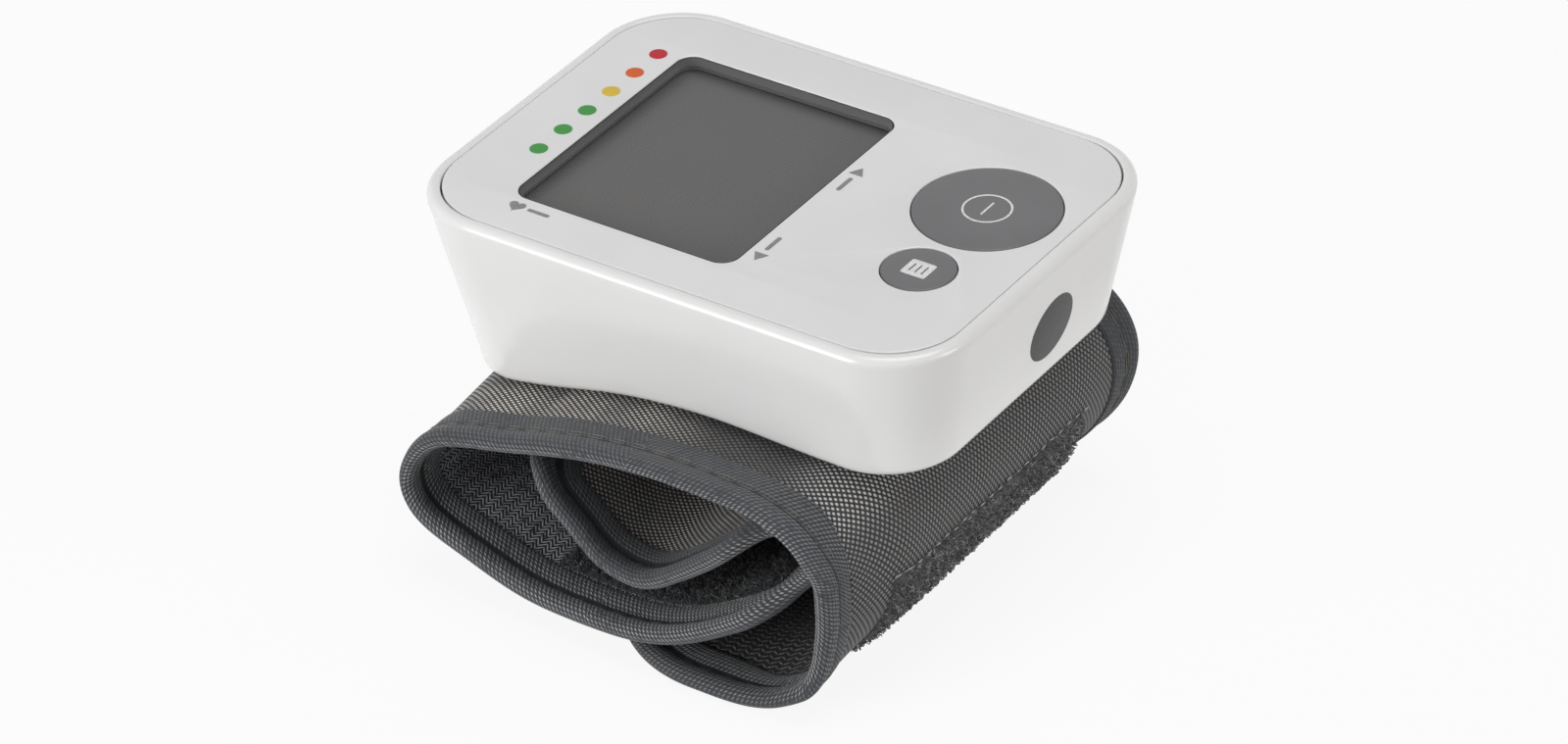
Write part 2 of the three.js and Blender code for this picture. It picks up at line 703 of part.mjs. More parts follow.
const pumpRight = pumpX + MOTOR_LENGTH + PUMP_HEAD_LENGTH;
const pumpFloor = coverTopAt(pumpX + MOTOR_LENGTH);
const pumpZ = pumpFloor + CLEARANCE + PUMP_HEAD / 2;
const pump = solid(barAlongX(PUMP_DIAMETER, pumpX, pumpX + MOTOR_LENGTH, pumpY, pumpZ, baySteps))
  .add(solid(prism(
    roundedRectangle(PUMP_HEAD_LENGTH, PUMP_HEAD, MOULDED_CORNER, pumpRight - PUMP_HEAD_LENGTH / 2, pumpY),
    pumpZ - PUMP_HEAD / 2,
    pumpZ + PUMP_HEAD / 2,
  )))
  .add(solid(barAlongX(
    NOZZLE_DIAMETER,
    pumpRight - NOZZLE_ROOT,
    pumpRight + NOZZLE_LENGTH,
    pumpY,
    pumpZ,
    holeSteps,
  )))
  .add(solid(barAlongX(PUMP_DIAMETER / 4, pumpX - MOTOR_STUB, pumpX + 1, pumpY, pumpZ, holeSteps)));

const valveRight = valveX + VALVE_LENGTH;
const valveFloor = coverTopAt(valveX + VALVE_LENGTH / 2);
const valveZ = valveFloor + CLEARANCE + VALVE_SIZE / 2;
const valve = solid(block(
  valveX,
  valveRight,
  valveY - VALVE_SIZE / 2,
  valveY + VALVE_SIZE / 2,
  valveZ - VALVE_SIZE / 2,
  valveZ + VALVE_SIZE / 2,
)).add(solid(barAlongX(
  NOZZLE_DIAMETER,
  valveRight - NOZZLE_ROOT,
  valveRight + NOZZLE_LENGTH,
  valveY,
  valveZ,
  holeSteps,
)));

const nippleBore = NIPPLE_DIAMETER + 2 * CLEARANCE;
const sensorBore = SENSOR_PORT_DIAMETER + 2 * CLEARANCE;
const manifold = solid(block(
  manifoldX - manifoldHalf,
  manifoldX + manifoldHalf,
  MANIFOLD_Y - manifoldHalf,
  MANIFOLD_Y + manifoldHalf,
  manifoldBottom,
  manifoldTop,
))
  .subtract(solid(disc(nippleBore, manifoldBottom - 1, airZ, manifoldX, MANIFOLD_Y, smallRoundSteps)))
  .subtract(solid(disc(sensorBore, airZ, manifoldTop + 1, manifoldX, MANIFOLD_Y, holeSteps)))
  .add(solid(barAlongX(
    NOZZLE_DIAMETER,
    manifoldX + manifoldHalf - NOZZLE_ROOT / 2,
    manifoldX + manifoldHalf + NOZZLE_LENGTH,
    MANIFOLD_Y,
    airZ,
    holeSteps,
  )))
  .add(solid(barAlongY(
    NOZZLE_DIAMETER,
    MANIFOLD_Y + manifoldHalf - NOZZLE_ROOT / 2,
    MANIFOLD_Y + manifoldHalf + NOZZLE_LENGTH,
    manifoldX,
    airZ,
    holeSteps,
  )));

// Soft tube pushed over two nozzles: a hollow section drawn along the route
function tube(points) {
  const route = new THREE.CatmullRomCurve3(points, false, 'centripetal');
  const section = new THREE.Shape().absarc(0, 0, TUBE_DIAMETER / 2, 0, 2 * Math.PI);
  section.holes.push(new THREE.Path().absarc(0, 0, NOZZLE_DIAMETER / 2 + CLEARANCE, 0, 2 * Math.PI));
  return new THREE.ExtrudeGeometry(section, { steps: 12, extrudePath: route, curveSegments: 4 });
}

const pumpTube = tube([
  new THREE.Vector3(pumpRight + SEAT_GAP, pumpY, pumpZ),
  new THREE.Vector3(pumpRight + NOZZLE_LENGTH, pumpY, pumpZ),
  new THREE.Vector3(pumpRight + NOZZLE_LENGTH + TUBE_BEND * 0.6, pumpY + TUBE_BEND, (pumpZ + airZ) / 2),
  new THREE.Vector3(pumpRight + NOZZLE_LENGTH, MANIFOLD_Y, airZ),
  new THREE.Vector3(manifoldX + manifoldHalf + NOZZLE_LENGTH, MANIFOLD_Y, airZ),
  new THREE.Vector3(manifoldX + manifoldHalf + CLEARANCE, MANIFOLD_Y, airZ),
]);
const valveTube = tube([
  new THREE.Vector3(valveRight + SEAT_GAP, valveY, valveZ),
  new THREE.Vector3(valveRight + NOZZLE_LENGTH, valveY, valveZ),
  new THREE.Vector3(manifoldX, MANIFOLD_Y + manifoldHalf + NOZZLE_LENGTH, airZ),
  new THREE.Vector3(manifoldX, MANIFOLD_Y + manifoldHalf + CLEARANCE, airZ),
]);

// Air nipple: from the bladder up through the skin, the cover and into the manifold
const topRunAt = (x) => undersideAt(x) - SADDLE_GAP - stripHalf;
const nippleFoot = topRunAt(manifoldX) + SHEET_THICKNESS / 2 + SEAT_GAP;
const nipple = turned([
  [0, nippleFoot],
  [NIPPLE_COLLAR / 2, nippleFoot],
  [NIPPLE_COLLAR / 2, nippleFoot + NIPPLE_COLLAR_THICKNESS],
  [NIPPLE_DIAMETER / 2, nippleFoot + NIPPLE_COLLAR_THICKNESS],
  [NIPPLE_DIAMETER / 2, airZ - CLEARANCE],
  [NIPPLE_DIAMETER / 4, airZ - CLEARANCE],
  [NIPPLE_DIAMETER / 4, nippleFoot + NIPPLE_COLLAR_THICKNESS],
  [0, nippleFoot + NIPPLE_COLLAR_THICKNESS],
], manifoldX, MANIFOLD_Y, smallRoundSteps);

// Batteries, side by side across the deep end, and their contacts
const batteryZ = batteryX.map((x) => coverTopAt(x) + (BATTERY_DIAMETER / 2 + CLEARANCE) * 1.04);
function battery(index, flip) {
  const radius = BATTERY_DIAMETER / 2;
  const nub = BATTERY_NUB_DIAMETER / 2;
  const half = batteryLength / 2;
  const points = [
    [0, -half],
    [radius * 0.85, -half],
    [radius, -half + 0.6],
    [radius, half - BATTERY_NUB_LENGTH - 0.6],
    [radius * 0.85, half - BATTERY_NUB_LENGTH],
    [nub, half - BATTERY_NUB_LENGTH],
    [nub, half],
    [0, half],
  ].map(([r, h]) => new THREE.Vector2(r, h));
  const geometry = new THREE.LatheGeometry(points, smallRoundSteps);
  if (flip) geometry.rotateZ(Math.PI);
  return geometry.translate(batteryX[index], 0, batteryZ[index]);
}

const contactInner = batteryLength / 2 + SEAT_GAP;
const contactOuter = contactInner + CONTACT_THICKNESS;
const contactTop = boardBottom - SEAT_GAP;
function soldered(x, z) {
  const upright = block(
    x - CONTACT_WIDTH / 2,
    x + CONTACT_WIDTH / 2,
    -contactOuter,
    -contactInner,
    z - CONTACT_WIDTH / 2,
    contactTop,
  );
  const tab = block(
    x - CONTACT_TAB / 2,
    x + CONTACT_TAB / 2,
    -contactInner - CONTACT_THICKNESS / 2,
    -boardWidth / 2 + CONTACT_TAB,
    contactTop - CONTACT_THICKNESS,
    contactTop,
  );
  return surface(solid(upright).add(solid(tab)));
}

const linkContact = block(
  batteryX[0] - CONTACT_WIDTH / 2,
  batteryX[1] + CONTACT_WIDTH / 2,
  contactInner,
  contactOuter,
  batteryZ[0] - CONTACT_WIDTH / 4,
  batteryZ[1] + CONTACT_WIDTH / 4,
);

// Rear cover: saddle plate inside the shell, with battery cradles, contact walls and pump ribs
const coverOutline = cavity(WALL + CLEARANCE, ledgeBottom);
const wallInner = contactOuter + SEAT_GAP;
const cradleRight = batteryX[1] + BATTERY_DIAMETER / 2;
function cradleRib(y) {
  return solid(block(
    batteryX[0] - BATTERY_DIAMETER / 2,
    cradleRight,
    y - CRADLE_THICKNESS / 2,
    y + CRADLE_THICKNESS / 2,
    -LEFT_DEPTH,
    batteryZ[0] - BATTERY_DIAMETER / 2 + CRADLE_HEIGHT,
  ));
}

const ribs = [-CRADLE_Y, CRADLE_Y].map(cradleRib);
for (const side of [-1, 1]) {
  const near = Math.min(side * wallInner, side * (wallInner + CRADLE_THICKNESS / 2));
  ribs.push(solid(block(
    batteryX[0] - BATTERY_DIAMETER / 2,
    cradleRight,
    near,
    near + CRADLE_THICKNESS / 2,
    -LEFT_DEPTH,
    batteryZ[0],
  )));
}
for (const x of [pumpX + MOTOR_LENGTH / 4, pumpX + MOTOR_LENGTH * 0.75]) {
  ribs.push(solid(block(
    x - CRADLE_THICKNESS / 2,
    x + CRADLE_THICKNESS / 2,
    pumpY - PUMP_DIAMETER / 2,
    pumpY + PUMP_DIAMETER / 2,
    -LEFT_DEPTH,
    pumpZ - PUMP_DIAMETER / 4,
  )));
}
let cover = undersideBand(0, COVER_THICKNESS);
const aboveUnderside = undersideBand(COVER_THICKNESS / 2, farAway);
for (const rib of ribs) cover = cover.add(rib.intersect(aboveUnderside));
cover = cover.intersect(coverOutline);
const bays = batteryX.map((x, i) => barAlongY(
  BATTERY_DIAMETER + 2 * CLEARANCE,
  -contactInner,
  contactInner,
  x,
  batteryZ[i],
  baySteps,
));
bays.push(barAlongX(
  PUMP_DIAMETER + 2 * CLEARANCE,
  pumpX - WALL,
  pumpX + MOTOR_LENGTH + CLEARANCE,
  pumpY,
  pumpZ,
  baySteps,
));
for (const bay of bays) cover = cover.subtract(solid(bay));
cover = cover.subtract(solid(disc(
  nippleBore,
  -farAway,
  0,
  manifoldX,
  MANIFOLD_Y,
  smallRoundSteps,
)));
const headSeat = (x) => undersideAt(x) + SCREW_SINK;
for (const [x, y] of bossPlaces) {
  cover = cover
    .subtract(solid(disc(SCREW_DIAMETER + 2 * CLEARANCE, -farAway, 0, x, y, holeSteps)))
    .subtract(solid(disc(SCREW_HEAD_DIAMETER + 2 * CLEARANCE, -farAway, headSeat(x), x, y, smallRoundSteps)));
}

function caseScrew([x, y]) {
  const headFoot = headSeat(x) - SEAT_GAP / 2 - SCREW_HEAD_HEIGHT;
  return screw(
    x,
    y,
    headFoot,
    SCREW_DIAMETER,
    SCREW_HEAD_DIAMETER,
    SCREW_HEAD_HEIGHT,
    SCREW_LENGTH,
  );
}

// Course of the cuff strip in X and Z, as the line through the middle of its thickness
const topRunZ = (x) => rimHeight + topRunAt(x);
const rightX = LOOP_RIGHT - stripHalf;
const leftX = -LOOP_LEFT + stripHalf;
const insideRightX = rightX - 2 * stripHalf - CLEARANCE;

function stripCourse() {
  const course = new THREE.CurvePath();
  course.add(new THREE.LineCurve(
    new THREE.Vector2(SHORT_END_X, stripHalf),
    new THREE.Vector2(FLOOR_RUN_END_X, stripHalf),
  ));
  course.add(new THREE.EllipseCurve(
    FLOOR_RUN_END_X,
    WALL_TURN_HEIGHT,
    rightX - FLOOR_RUN_END_X,
    WALL_TURN_HEIGHT - stripHalf,
    -Math.PI / 2,
    0,
  ));
  course.add(new THREE.EllipseCurve(
    TOP_RUN_START_X,
    WALL_TURN_HEIGHT,
    rightX - TOP_RUN_START_X,
    topRunZ(TOP_RUN_START_X) - WALL_TURN_HEIGHT,
    0,
    Math.PI / 2,
  ));
  const roll = [];
  const topSteps = 8;
  for (let step = 0; step <= topSteps; step += 1) {
    const x = THREE.MathUtils.lerp(TOP_RUN_START_X, TOP_RUN_END_X, step / topSteps);
    roll.push([x, topRunZ(x)]);
  }
  const onInnerFold = (degrees) => {
    const angle = THREE.MathUtils.degToRad(degrees);
    return [
      insideRightX - INNER_FOLD_INSET + INNER_FOLD_RADIUS * Math.cos(angle),
      INNER_FOLD_HEIGHT + INNER_FOLD_RADIUS * Math.sin(angle),
    ];
  };
  const fromLeft = ([inward, height]) => [leftX + inward, height];
  const fromRight = ([inward, height]) => [insideRightX - inward, height];
  roll.push(...LEFT_NOSE.map(fromLeft));
  roll.push(...LOWER_RUN.map(fromLeft));
  roll.push(...RIGHT_RISE.map(fromRight));
  roll.push(...INNER_FOLD_ANGLES.map(onInnerFold));
  roll.push(...INNER_FLAP);
  course.add(new THREE.SplineCurve(roll.map(([x, z]) => new THREE.Vector2(x, z))));
  return course;
}

// Fine walk along the course: place, outward direction and length from the short end
const fineStep = 0.25;
const course = stripCourse();
const courseLength = course.getLength();
const walk = course.getSpacedPoints(Math.round(courseLength / fineStep));
const walkStep = courseLength / (walk.length - 1);

function onStrip(s) {
  const place = THREE.MathUtils.clamp(s / walkStep, 0, walk.length - 1.001);
  const index = Math.floor(place);
  const point = walk[index].clone().lerp(walk[index + 1], place - index);
  const before = walk[Math.max(index - 1, 0)];
  const after = walk[Math.min(index + 2, walk.length - 1)];
  const along = after.clone().sub(before).normalize();
  return { point, along, out: new THREE.Vector2(along.y, -along.x) };
}

function lengthAtX(x, from, to) {
  let best = from;
  for (let s = from; s <= to; s += walkStep) {
    if (Math.abs(onStrip(s).point.x - x) < Math.abs(onStrip(best).point.x - x)) best = s;
  }
  return best;
}

// Stations along the strip, close together where it bends
const stations = [0];
{
  const longestStep = 5;
  const largestTurn = THREE.MathUtils.degToRad(11);
  let turn = 0;
  for (let s = walkStep; s < courseLength; s += walkStep) {
    turn += Math.abs(onStrip(s).along.angleTo(onStrip(s - walkStep).along));
    if (turn > largestTurn || s - stations.at(-1) > longestStep) {
      stations.push(s);
      turn = 0;
    }
  }
  stations.push(courseLength);
}

const courseParts = course.getCurveLengths();
const rightSplit = lengthAtX(RIGHT_HINGE_X, courseParts[1], courseParts[2]);
const topRunReach = 1.2 * (TOP_RUN_START_X - LEFT_HINGE_X);
const leftSplit = lengthAtX(LEFT_HINGE_X, courseParts[2], courseParts[2] + topRunReach);
const lowerMiddle = (leftSplit + courseLength) / 2;

// Front edge of the strip: the free ends lie a little askew
function frontEdge(s) {
  const ease = (from, to) => THREE.MathUtils.smoothstep(s, from, to);
  const shortSkew = -SHORT_SKEW * (1 - ease(courseParts[0], rightSplit));
  const lowerSkew = -LOWER_SKEW * ease(leftSplit, lowerMiddle);
  const tipSkew = LOWER_SKEW * ease(lowerMiddle, courseLength);
  return cuffFront + shortSkew + lowerSkew + tipSkew;
}

// Flat pattern to rolled strip: length along, place across, height off the middle
function rolled(s, y, height) {
  const { point, out } = onStrip(s);
  return new THREE.Vector3(point.x + out.x * height, y, point.y + out.y * height);
}

function stationsBetween(from, to) {
  const near = walkStep * 2;
  return [from, ...stations.filter((s) => s > from + near && s < to - near), to];
}

// How far an end's rounding draws the edge in at a place along the strip
function endRounding(s, inset, shortEnd, longEnd) {
  const drawnIn = (endRadius, fromEnd) => {
    const radius = Math.max(endRadius - inset, LEAST_END_RADIUS);
    const reach = Math.max(radius - (fromEnd - inset), 0);
    return radius - Math.sqrt(Math.max(radius * radius - reach * reach, 0));
  };
  if (shortEnd) return drawnIn(SHORT_END_RADIUS, s);
  return longEnd ? drawnIn(LONG_END_RADIUS, courseLength - s) : 0;
}

// Layer of the strip between two heights, from one length to another
function ply(from, to, low, high, inset, ends = {}, backInset = inset) {
  const start = ends.short ? inset + 0.3 : from;
  const stop = ends.long ? courseLength - inset - 0.3 : to;
  const rings = [];
  const places = stationsBetween(start, stop);
  const fans = [0.6, 1.6, 3.2];
  if (ends.short) places.splice(1, 0, ...fans.map((step) => start + step));
  if (ends.long) places.splice(-1, 0, ...fans.reverse().map((step) => stop - step));
  places.sort((a, b) => a - b);
  for (const s of places) {
    const drawn = endRounding(s, inset, ends.short, ends.long);
    const front = frontEdge(s) + inset + drawn;
    const back = frontEdge(s) + CUFF_WIDTH - backInset - drawn;
    rings.push([
      rolled(s, front, low),
      rolled(s, front, high),
      rolled(s, back, high),
      rolled(s, back, low),
    ]);
  }
  return loft(rings);
}

// Binding tape: a channel section folded over an edge line given in the flat pattern
function binding(edge) {
  const outer = stripHalf;
  const inner = stripHalf - TAPE_THICKNESS;
  const section = [
    [0, -outer],
    [0, outer],
    [TAPE_WIDTH, outer],
    [TAPE_WIDTH, inner],
    [TAPE_THICKNESS, inner],
    [TAPE_THICKNESS, -inner],
    [TAPE_WIDTH, -inner],
    [TAPE_WIDTH, -outer],
  ];
  const count = section.length;
  const points = [];
  for (const { s, y, inS, inY } of edge) {
    for (const [depth, height] of section) points.push(rolled(s + inS * depth, y + inY * depth, height));
  }
  const triangles = [];
  for (let level = 0; level + 1 < edge.length; level += 1) {
    for (let i = 0; i < count; i += 1) {
      const a = level * count + i;
      const b = level * count + (i + 1) % count;
      triangles.push(a, b, b + count, a, b + count, a + count);
    }
  }
  const caps = THREE.ShapeUtils.triangulateShape(section.map(([x, y]) => new THREE.Vector2(x, y)), []);
  const last = (edge.length - 1) * count;
  for (const [a, b, c] of caps) triangles.push(a, b, c, last + a, last + c, last + b);
  const geometry = new THREE.BufferGeometry().setFromPoints(points);
  geometry.setIndex(triangles);
  return geometry;
}

// Edge lines run with the strip on their left hand: out along the front, home along the back
function straightEdge(from, to, side) {
  const line = stationsBetween(from, to).map((s) => ({
    s,
    y: frontEdge(s) + (side > 0 ? 0 : CUFF_WIDTH),
    inS: 0,
    inY: side,
  }));
  return side > 0 ? line : line.reverse();
}

// Edge line of a free end: in along the front, round the end, out along the back
function endEdge(split, endLength) {
  const towards = Math.sign(endLength - split);
  const radius = towards < 0 ? SHORT_END_RADIUS : LONG_END_RADIUS;
  const turnIn = endLength - towards * radius;
  const run = stationsBetween(Math.min(split, turnIn), Math.max(split, turnIn));
  if (towards < 0) run.reverse();
  const front = run.map((s) => ({ s, y: frontEdge(s), inS: 0, inY: 1 }));
  const back = run.map((s) => ({ s, y: frontEdge(s) + CUFF_WIDTH, inS: 0, inY: -1 })).reverse();
  const arc = (side) => {
    const line = [];
    for (let step = 1; step <= 7; step += 1) {
      const angle = (Math.PI / 2) * (step / 7);
      const s = turnIn + towards * radius * Math.sin(angle);
      const edgeY = frontEdge(s) + (side > 0 ? 0 : CUFF_WIDTH);
      const y = edgeY + side * radius * (1 - Math.cos(angle));
      line.push({ s, y, inS: -towards * Math.sin(angle), inY: side * Math.cos(angle) });
    }
    return line;
  };
  const line = [...front, ...arc(1), ...arc(-1).reverse(), ...back];
  return towards > 0 ? line : line.reverse();
}

const half = SHEET_THICKNESS / 2;
const skinLow = half + PLY_GAP;
const skinHigh = skinLow + SKIN_THICKNESS;
const skinInset = TAPE_THICKNESS + SEAT_GAP;
const shortTo = rightSplit - SPLIT_GAP / 2;
const topFrom = rightSplit + SPLIT_GAP / 2;
const topTo = leftSplit - SPLIT_GAP / 2;
const longFrom = leftSplit + SPLIT_GAP / 2;
const shortEnd = { short: true };
const longEnd = { long: true };
const collarHole = solid(disc(
  NIPPLE_COLLAR + 2 * CLEARANCE,
  rimHeight + nippleFoot,
  rimHeight,
  manifoldX,
  MANIFOLD_Y + housingY,
  smallRoundSteps,
));
const topSkin = solid(ply(topFrom, topTo, skinLow, skinHigh, skinInset)).subtract(collarHole);
const patchLow = skinHigh + SEAT_GAP;
const patchHigh = patchLow + PATCH_THICKNESS;
const loopEnd = LOOP_PATCH_START + LOOP_PATCH_LENGTH;
const hookStart = leftSplit + HOOK_PATCH_START;

// Finishes
function finish(color, roughness, metalness = 0) {
  return new THREE.MeshStandardMaterial({ color, roughness, metalness });
}

const whiteGloss = finish(0xe9e9ea, 0.22);
const panelGloss = finish(0xf1f1f2, 0.18);
const greyButton = finish(0x77787b, 0.45);
const lcdGrey = finish(0x6d706c, 0.3);
const clearGlass = finish(0xa9adb0, 0.05);
const boardGreen = finish(0x1f5a3a, 0.6);
const chipBlack = finish(0x1a1a1c, 0.5);
const paleNylon = finish(0xd7d5cd, 0.6);
const silicone = finish(0xcfd3d4, 0.4);
const steel = finish(0xb8babd, 0.35, 1);
const cellSleeve = finish(0x3a4a63, 0.4, 0.3);
const darkFabric = finish(0x55565a, 0.95);
const liningKnit = finish(0x38393c, 1);
const tapeGrey = finish(0x3f4044, 0.9);
const pileGrey = finish(0x4a4b4e, 1);
const bladderGrey = finish(0x8b8d90, 0.6);

const monitor = new THREE.Group();
const unit = new THREE.Group();
unit.position.set(0, housingY, rimHeight);
const cuff = new THREE.Group();
monitor.add(unit, cuff);

function piece(group, name, geometry, material) {
  const mesh = new THREE.Mesh(geometry, material.clone());
  mesh.name = name;
  group.add(mesh);
}

piece(unit, 'housing_shell', surface(housing), whiteGloss);
piece(unit, 'top_panel', surface(panel), panelGloss);
piece(unit, 'display_window', displayWindow, clearGlass);
piece(unit, 'start_button', button(buttons[0]), greyButton);
piece(unit, 'memory_button', button(buttons[1]), greyButton);
piece(unit, 'start_switch_dome', switchDome(buttons[0]), steel);
piece(unit, 'memory_switch_dome', switchDome(buttons[1]), steel);
piece(unit, 'lcd_panel', lcdPanel, lcdGrey);
piece(unit, 'lcd_holder', surface(lcdHolder), paleNylon);
piece(unit, 'lcd_contact_strip_front', contactStrip(-1), chipBlack);
piece(unit, 'lcd_contact_strip_back', contactStrip(1), chipBlack);
piece(unit, 'main_board', surface(board), boardGreen);
boardPosts.forEach((place, i) => piece(unit, `board_screw_${i + 1}`, boardScrew(place), steel));
piece(unit, 'controller_chip', controllerChip, chipBlack);
piece(unit, 'buzzer', buzzer, chipBlack);
piece(unit, 'pressure_sensor', surface(sensor), paleNylon);
piece(unit, 'air_manifold', surface(manifold), paleNylon);
piece(unit, 'air_pump', surface(pump), steel);
piece(unit, 'exhaust_valve', surface(valve), steel);
piece(unit, 'pump_tube', pumpTube, silicone);
piece(unit, 'valve_tube', valveTube, silicone);
piece(unit, 'air_nipple', nipple, paleNylon);
piece(unit, 'rear_cover', surface(cover), whiteGloss);
bossPlaces.forEach((place, i) => piece(unit, `case_screw_${i + 1}`, caseScrew(place), steel));
piece(unit, 'battery_door', surface(door), whiteGloss);
piece(unit, 'battery_1', battery(0, false), cellSleeve);
piece(unit, 'battery_2', battery(1, true), cellSleeve);
piece(unit, 'battery_link_contact', linkContact, steel);
piece(unit, 'battery_contact_1', soldered(batteryX[0], batteryZ[0]), steel);
piece(unit, 'battery_contact_2', soldered(batteryX[1], batteryZ[1]), steel);

piece(cuff, 'cuff_top_skin', surface(topSkin), darkFabric);
piece(cuff, 'cuff_top_lining', ply(topFrom, topTo, -skinHigh, -skinLow, skinInset), liningKnit);
piece(cuff, 'cuff_top_binding_front', binding(straightEdge(topFrom, topTo, 1)), tapeGrey);
piece(cuff, 'cuff_top_binding_back', binding(straightEdge(topFrom, topTo, -1)), tapeGrey);
piece(cuff, 'air_bladder', ply(topFrom, topTo, -half, half, SHEET_INSET), bladderGrey);
piece(cuff, 'short_tail_skin', ply(0, shortTo, skinLow, skinHigh, skinInset, shortEnd), darkFabric);
piece(cuff, 'short_tail_lining', ply(0, shortTo, -skinHigh, -skinLow, skinInset, shortEnd), liningKnit);
piece(cuff, 'short_tail_sheet', ply(0, shortTo, -half, half, SHEET_INSET, shortEnd), bladderGrey);
piece(cuff, 'short_tail_binding', binding(endEdge(shortTo, 0)), tapeGrey);
piece(
  cuff,
  'loop_patch',
  ply(LOOP_PATCH_START, loopEnd, patchLow, patchHigh, LOOP_PATCH_FRONT_INSET, {}, LOOP_PATCH_BACK_INSET),
  pileGrey,
);
piece(cuff, 'long_tail_skin', ply(longFrom, courseLength, skinLow, skinHigh, skinInset, longEnd), darkFabric);
piece(
  cuff,
  'long_tail_lining',
  ply(longFrom, courseLength, -skinHigh, -skinLow, skinInset, longEnd),
  liningKnit,
);
piece(cuff, 'long_tail_sheet', ply(longFrom, courseLength, -half, half, SHEET_INSET, longEnd), bladderGrey);
piece(cuff, 'long_tail_binding', binding(endEdge(longFrom, courseLength)), tapeGrey);
piece(
  cuff,
  'hook_patch',
  ply(hookStart, hookStart + HOOK_PATCH_LENGTH, -patchHigh, -patchLow, HOOK_PATCH_INSET),
  pileGrey,
);

export default monitor;
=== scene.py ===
import math
import bpy
import bmesh
import numpy as np
from mathutils import Vector, Matrix, noise


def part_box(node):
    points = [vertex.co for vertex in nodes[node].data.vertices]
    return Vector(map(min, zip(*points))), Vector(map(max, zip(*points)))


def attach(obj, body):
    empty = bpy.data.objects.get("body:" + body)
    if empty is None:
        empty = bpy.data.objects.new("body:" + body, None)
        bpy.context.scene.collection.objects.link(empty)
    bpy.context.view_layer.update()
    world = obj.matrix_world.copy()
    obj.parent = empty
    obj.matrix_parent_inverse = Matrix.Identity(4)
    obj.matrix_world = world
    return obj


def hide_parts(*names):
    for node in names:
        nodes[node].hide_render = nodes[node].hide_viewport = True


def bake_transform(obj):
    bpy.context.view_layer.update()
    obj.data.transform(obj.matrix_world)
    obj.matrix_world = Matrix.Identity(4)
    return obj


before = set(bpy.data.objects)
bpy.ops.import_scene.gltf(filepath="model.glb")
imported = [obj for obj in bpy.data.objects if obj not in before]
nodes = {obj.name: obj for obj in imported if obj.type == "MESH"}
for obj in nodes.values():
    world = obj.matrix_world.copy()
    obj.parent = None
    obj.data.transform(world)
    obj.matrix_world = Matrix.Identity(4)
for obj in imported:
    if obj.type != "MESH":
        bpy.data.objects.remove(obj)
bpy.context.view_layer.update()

mm = 0.001
mapScale = 10  # units of the cloth's map per metre
scene = bpy.context.scene
scene.view_settings.view_transform = "Standard"
print("frame loaded")


# one maths node as a method of Value
def maths(operation, swapped=False):
    def apply(self, other=None):
        terms = [self] if other is None else [other, self] if swapped else [self, other]
        return self.finish.add("ShaderNodeMath", {"operation": operation}, dict(enumerate(terms)))
    return apply


# a socket that takes part in Python sums
class Value:
    def __init__(self, finish, socket):
        self.finish = finish
        self.socket = socket

    __add__ = __radd__ = maths("ADD")
    __sub__, __rsub__ = maths("SUBTRACT"), maths("SUBTRACT", True)
    __mul__ = __rmul__ = maths("MULTIPLY")
    __truediv__, __pow__, __mod__ = maths("DIVIDE"), maths("POWER"), maths("FLOORED_MODULO")
    __abs__, whole, part = maths("ABSOLUTE"), maths("FLOOR"), maths("FRACT")
    least, most = maths("MINIMUM"), maths("MAXIMUM")

    def rise(self, low, high):
        return self.finish.add("ShaderNodeMapRange", {"interpolation_type": "SMOOTHSTEP"},
                               {0: self, 1: low, 2: high, 3: 0.0, 4: 1.0})

    def fall(self, low, high):
        return 1 - self.rise(low, high)

    # place within one of many equal steps, from -0.5 to 0.5
    def within(self):
        return self.part() - 0.5

    # 1 in every other step, otherwise 0
    def odd(self):
        return self.whole() % 2

    # another output of the same node
    def twin(self, name):
        return Value(self.finish, self.socket.node.outputs[name])


# nodes of one tree, made through one method
class Nodes:
    def __init__(self, tree):
        self.tree = tree

    def add(self, kind, settings={}, sockets={}, out=0):
        node = self.tree.nodes.new(kind)
        for name, value in settings.items():
            if name == "stops":
                while len(node.color_ramp.elements) < len(value):
                    node.color_ramp.elements.new(0.5)
                for element, (place, colour) in zip(node.color_ramp.elements, value):
                    element.position = place
                    element.color = (*colour, 1)
            elif name == "interpolation":
                node.color_ramp.interpolation = value
            else:
                setattr(node, name, value)
        for name, value in sockets.items():
            if isinstance(value, Value):
                self.tree.links.new(value.socket, node.inputs[name])
            else:
                node.inputs[name].default_value = value
        return Value(self, node.outputs[out])

    def vector(self, x, y, z):
        return self.add("ShaderNodeCombineXYZ", {}, {0: x, 1: y, 2: z})

    # 1 for what is seen straight, in a reflection or through the window
    def seen(self):
        path = self.add("ShaderNodeLightPath", out="Is Camera Ray")
        return path.most(path.twin("Is Glossy Ray")).most(path.twin("Is Transmission Ray"))


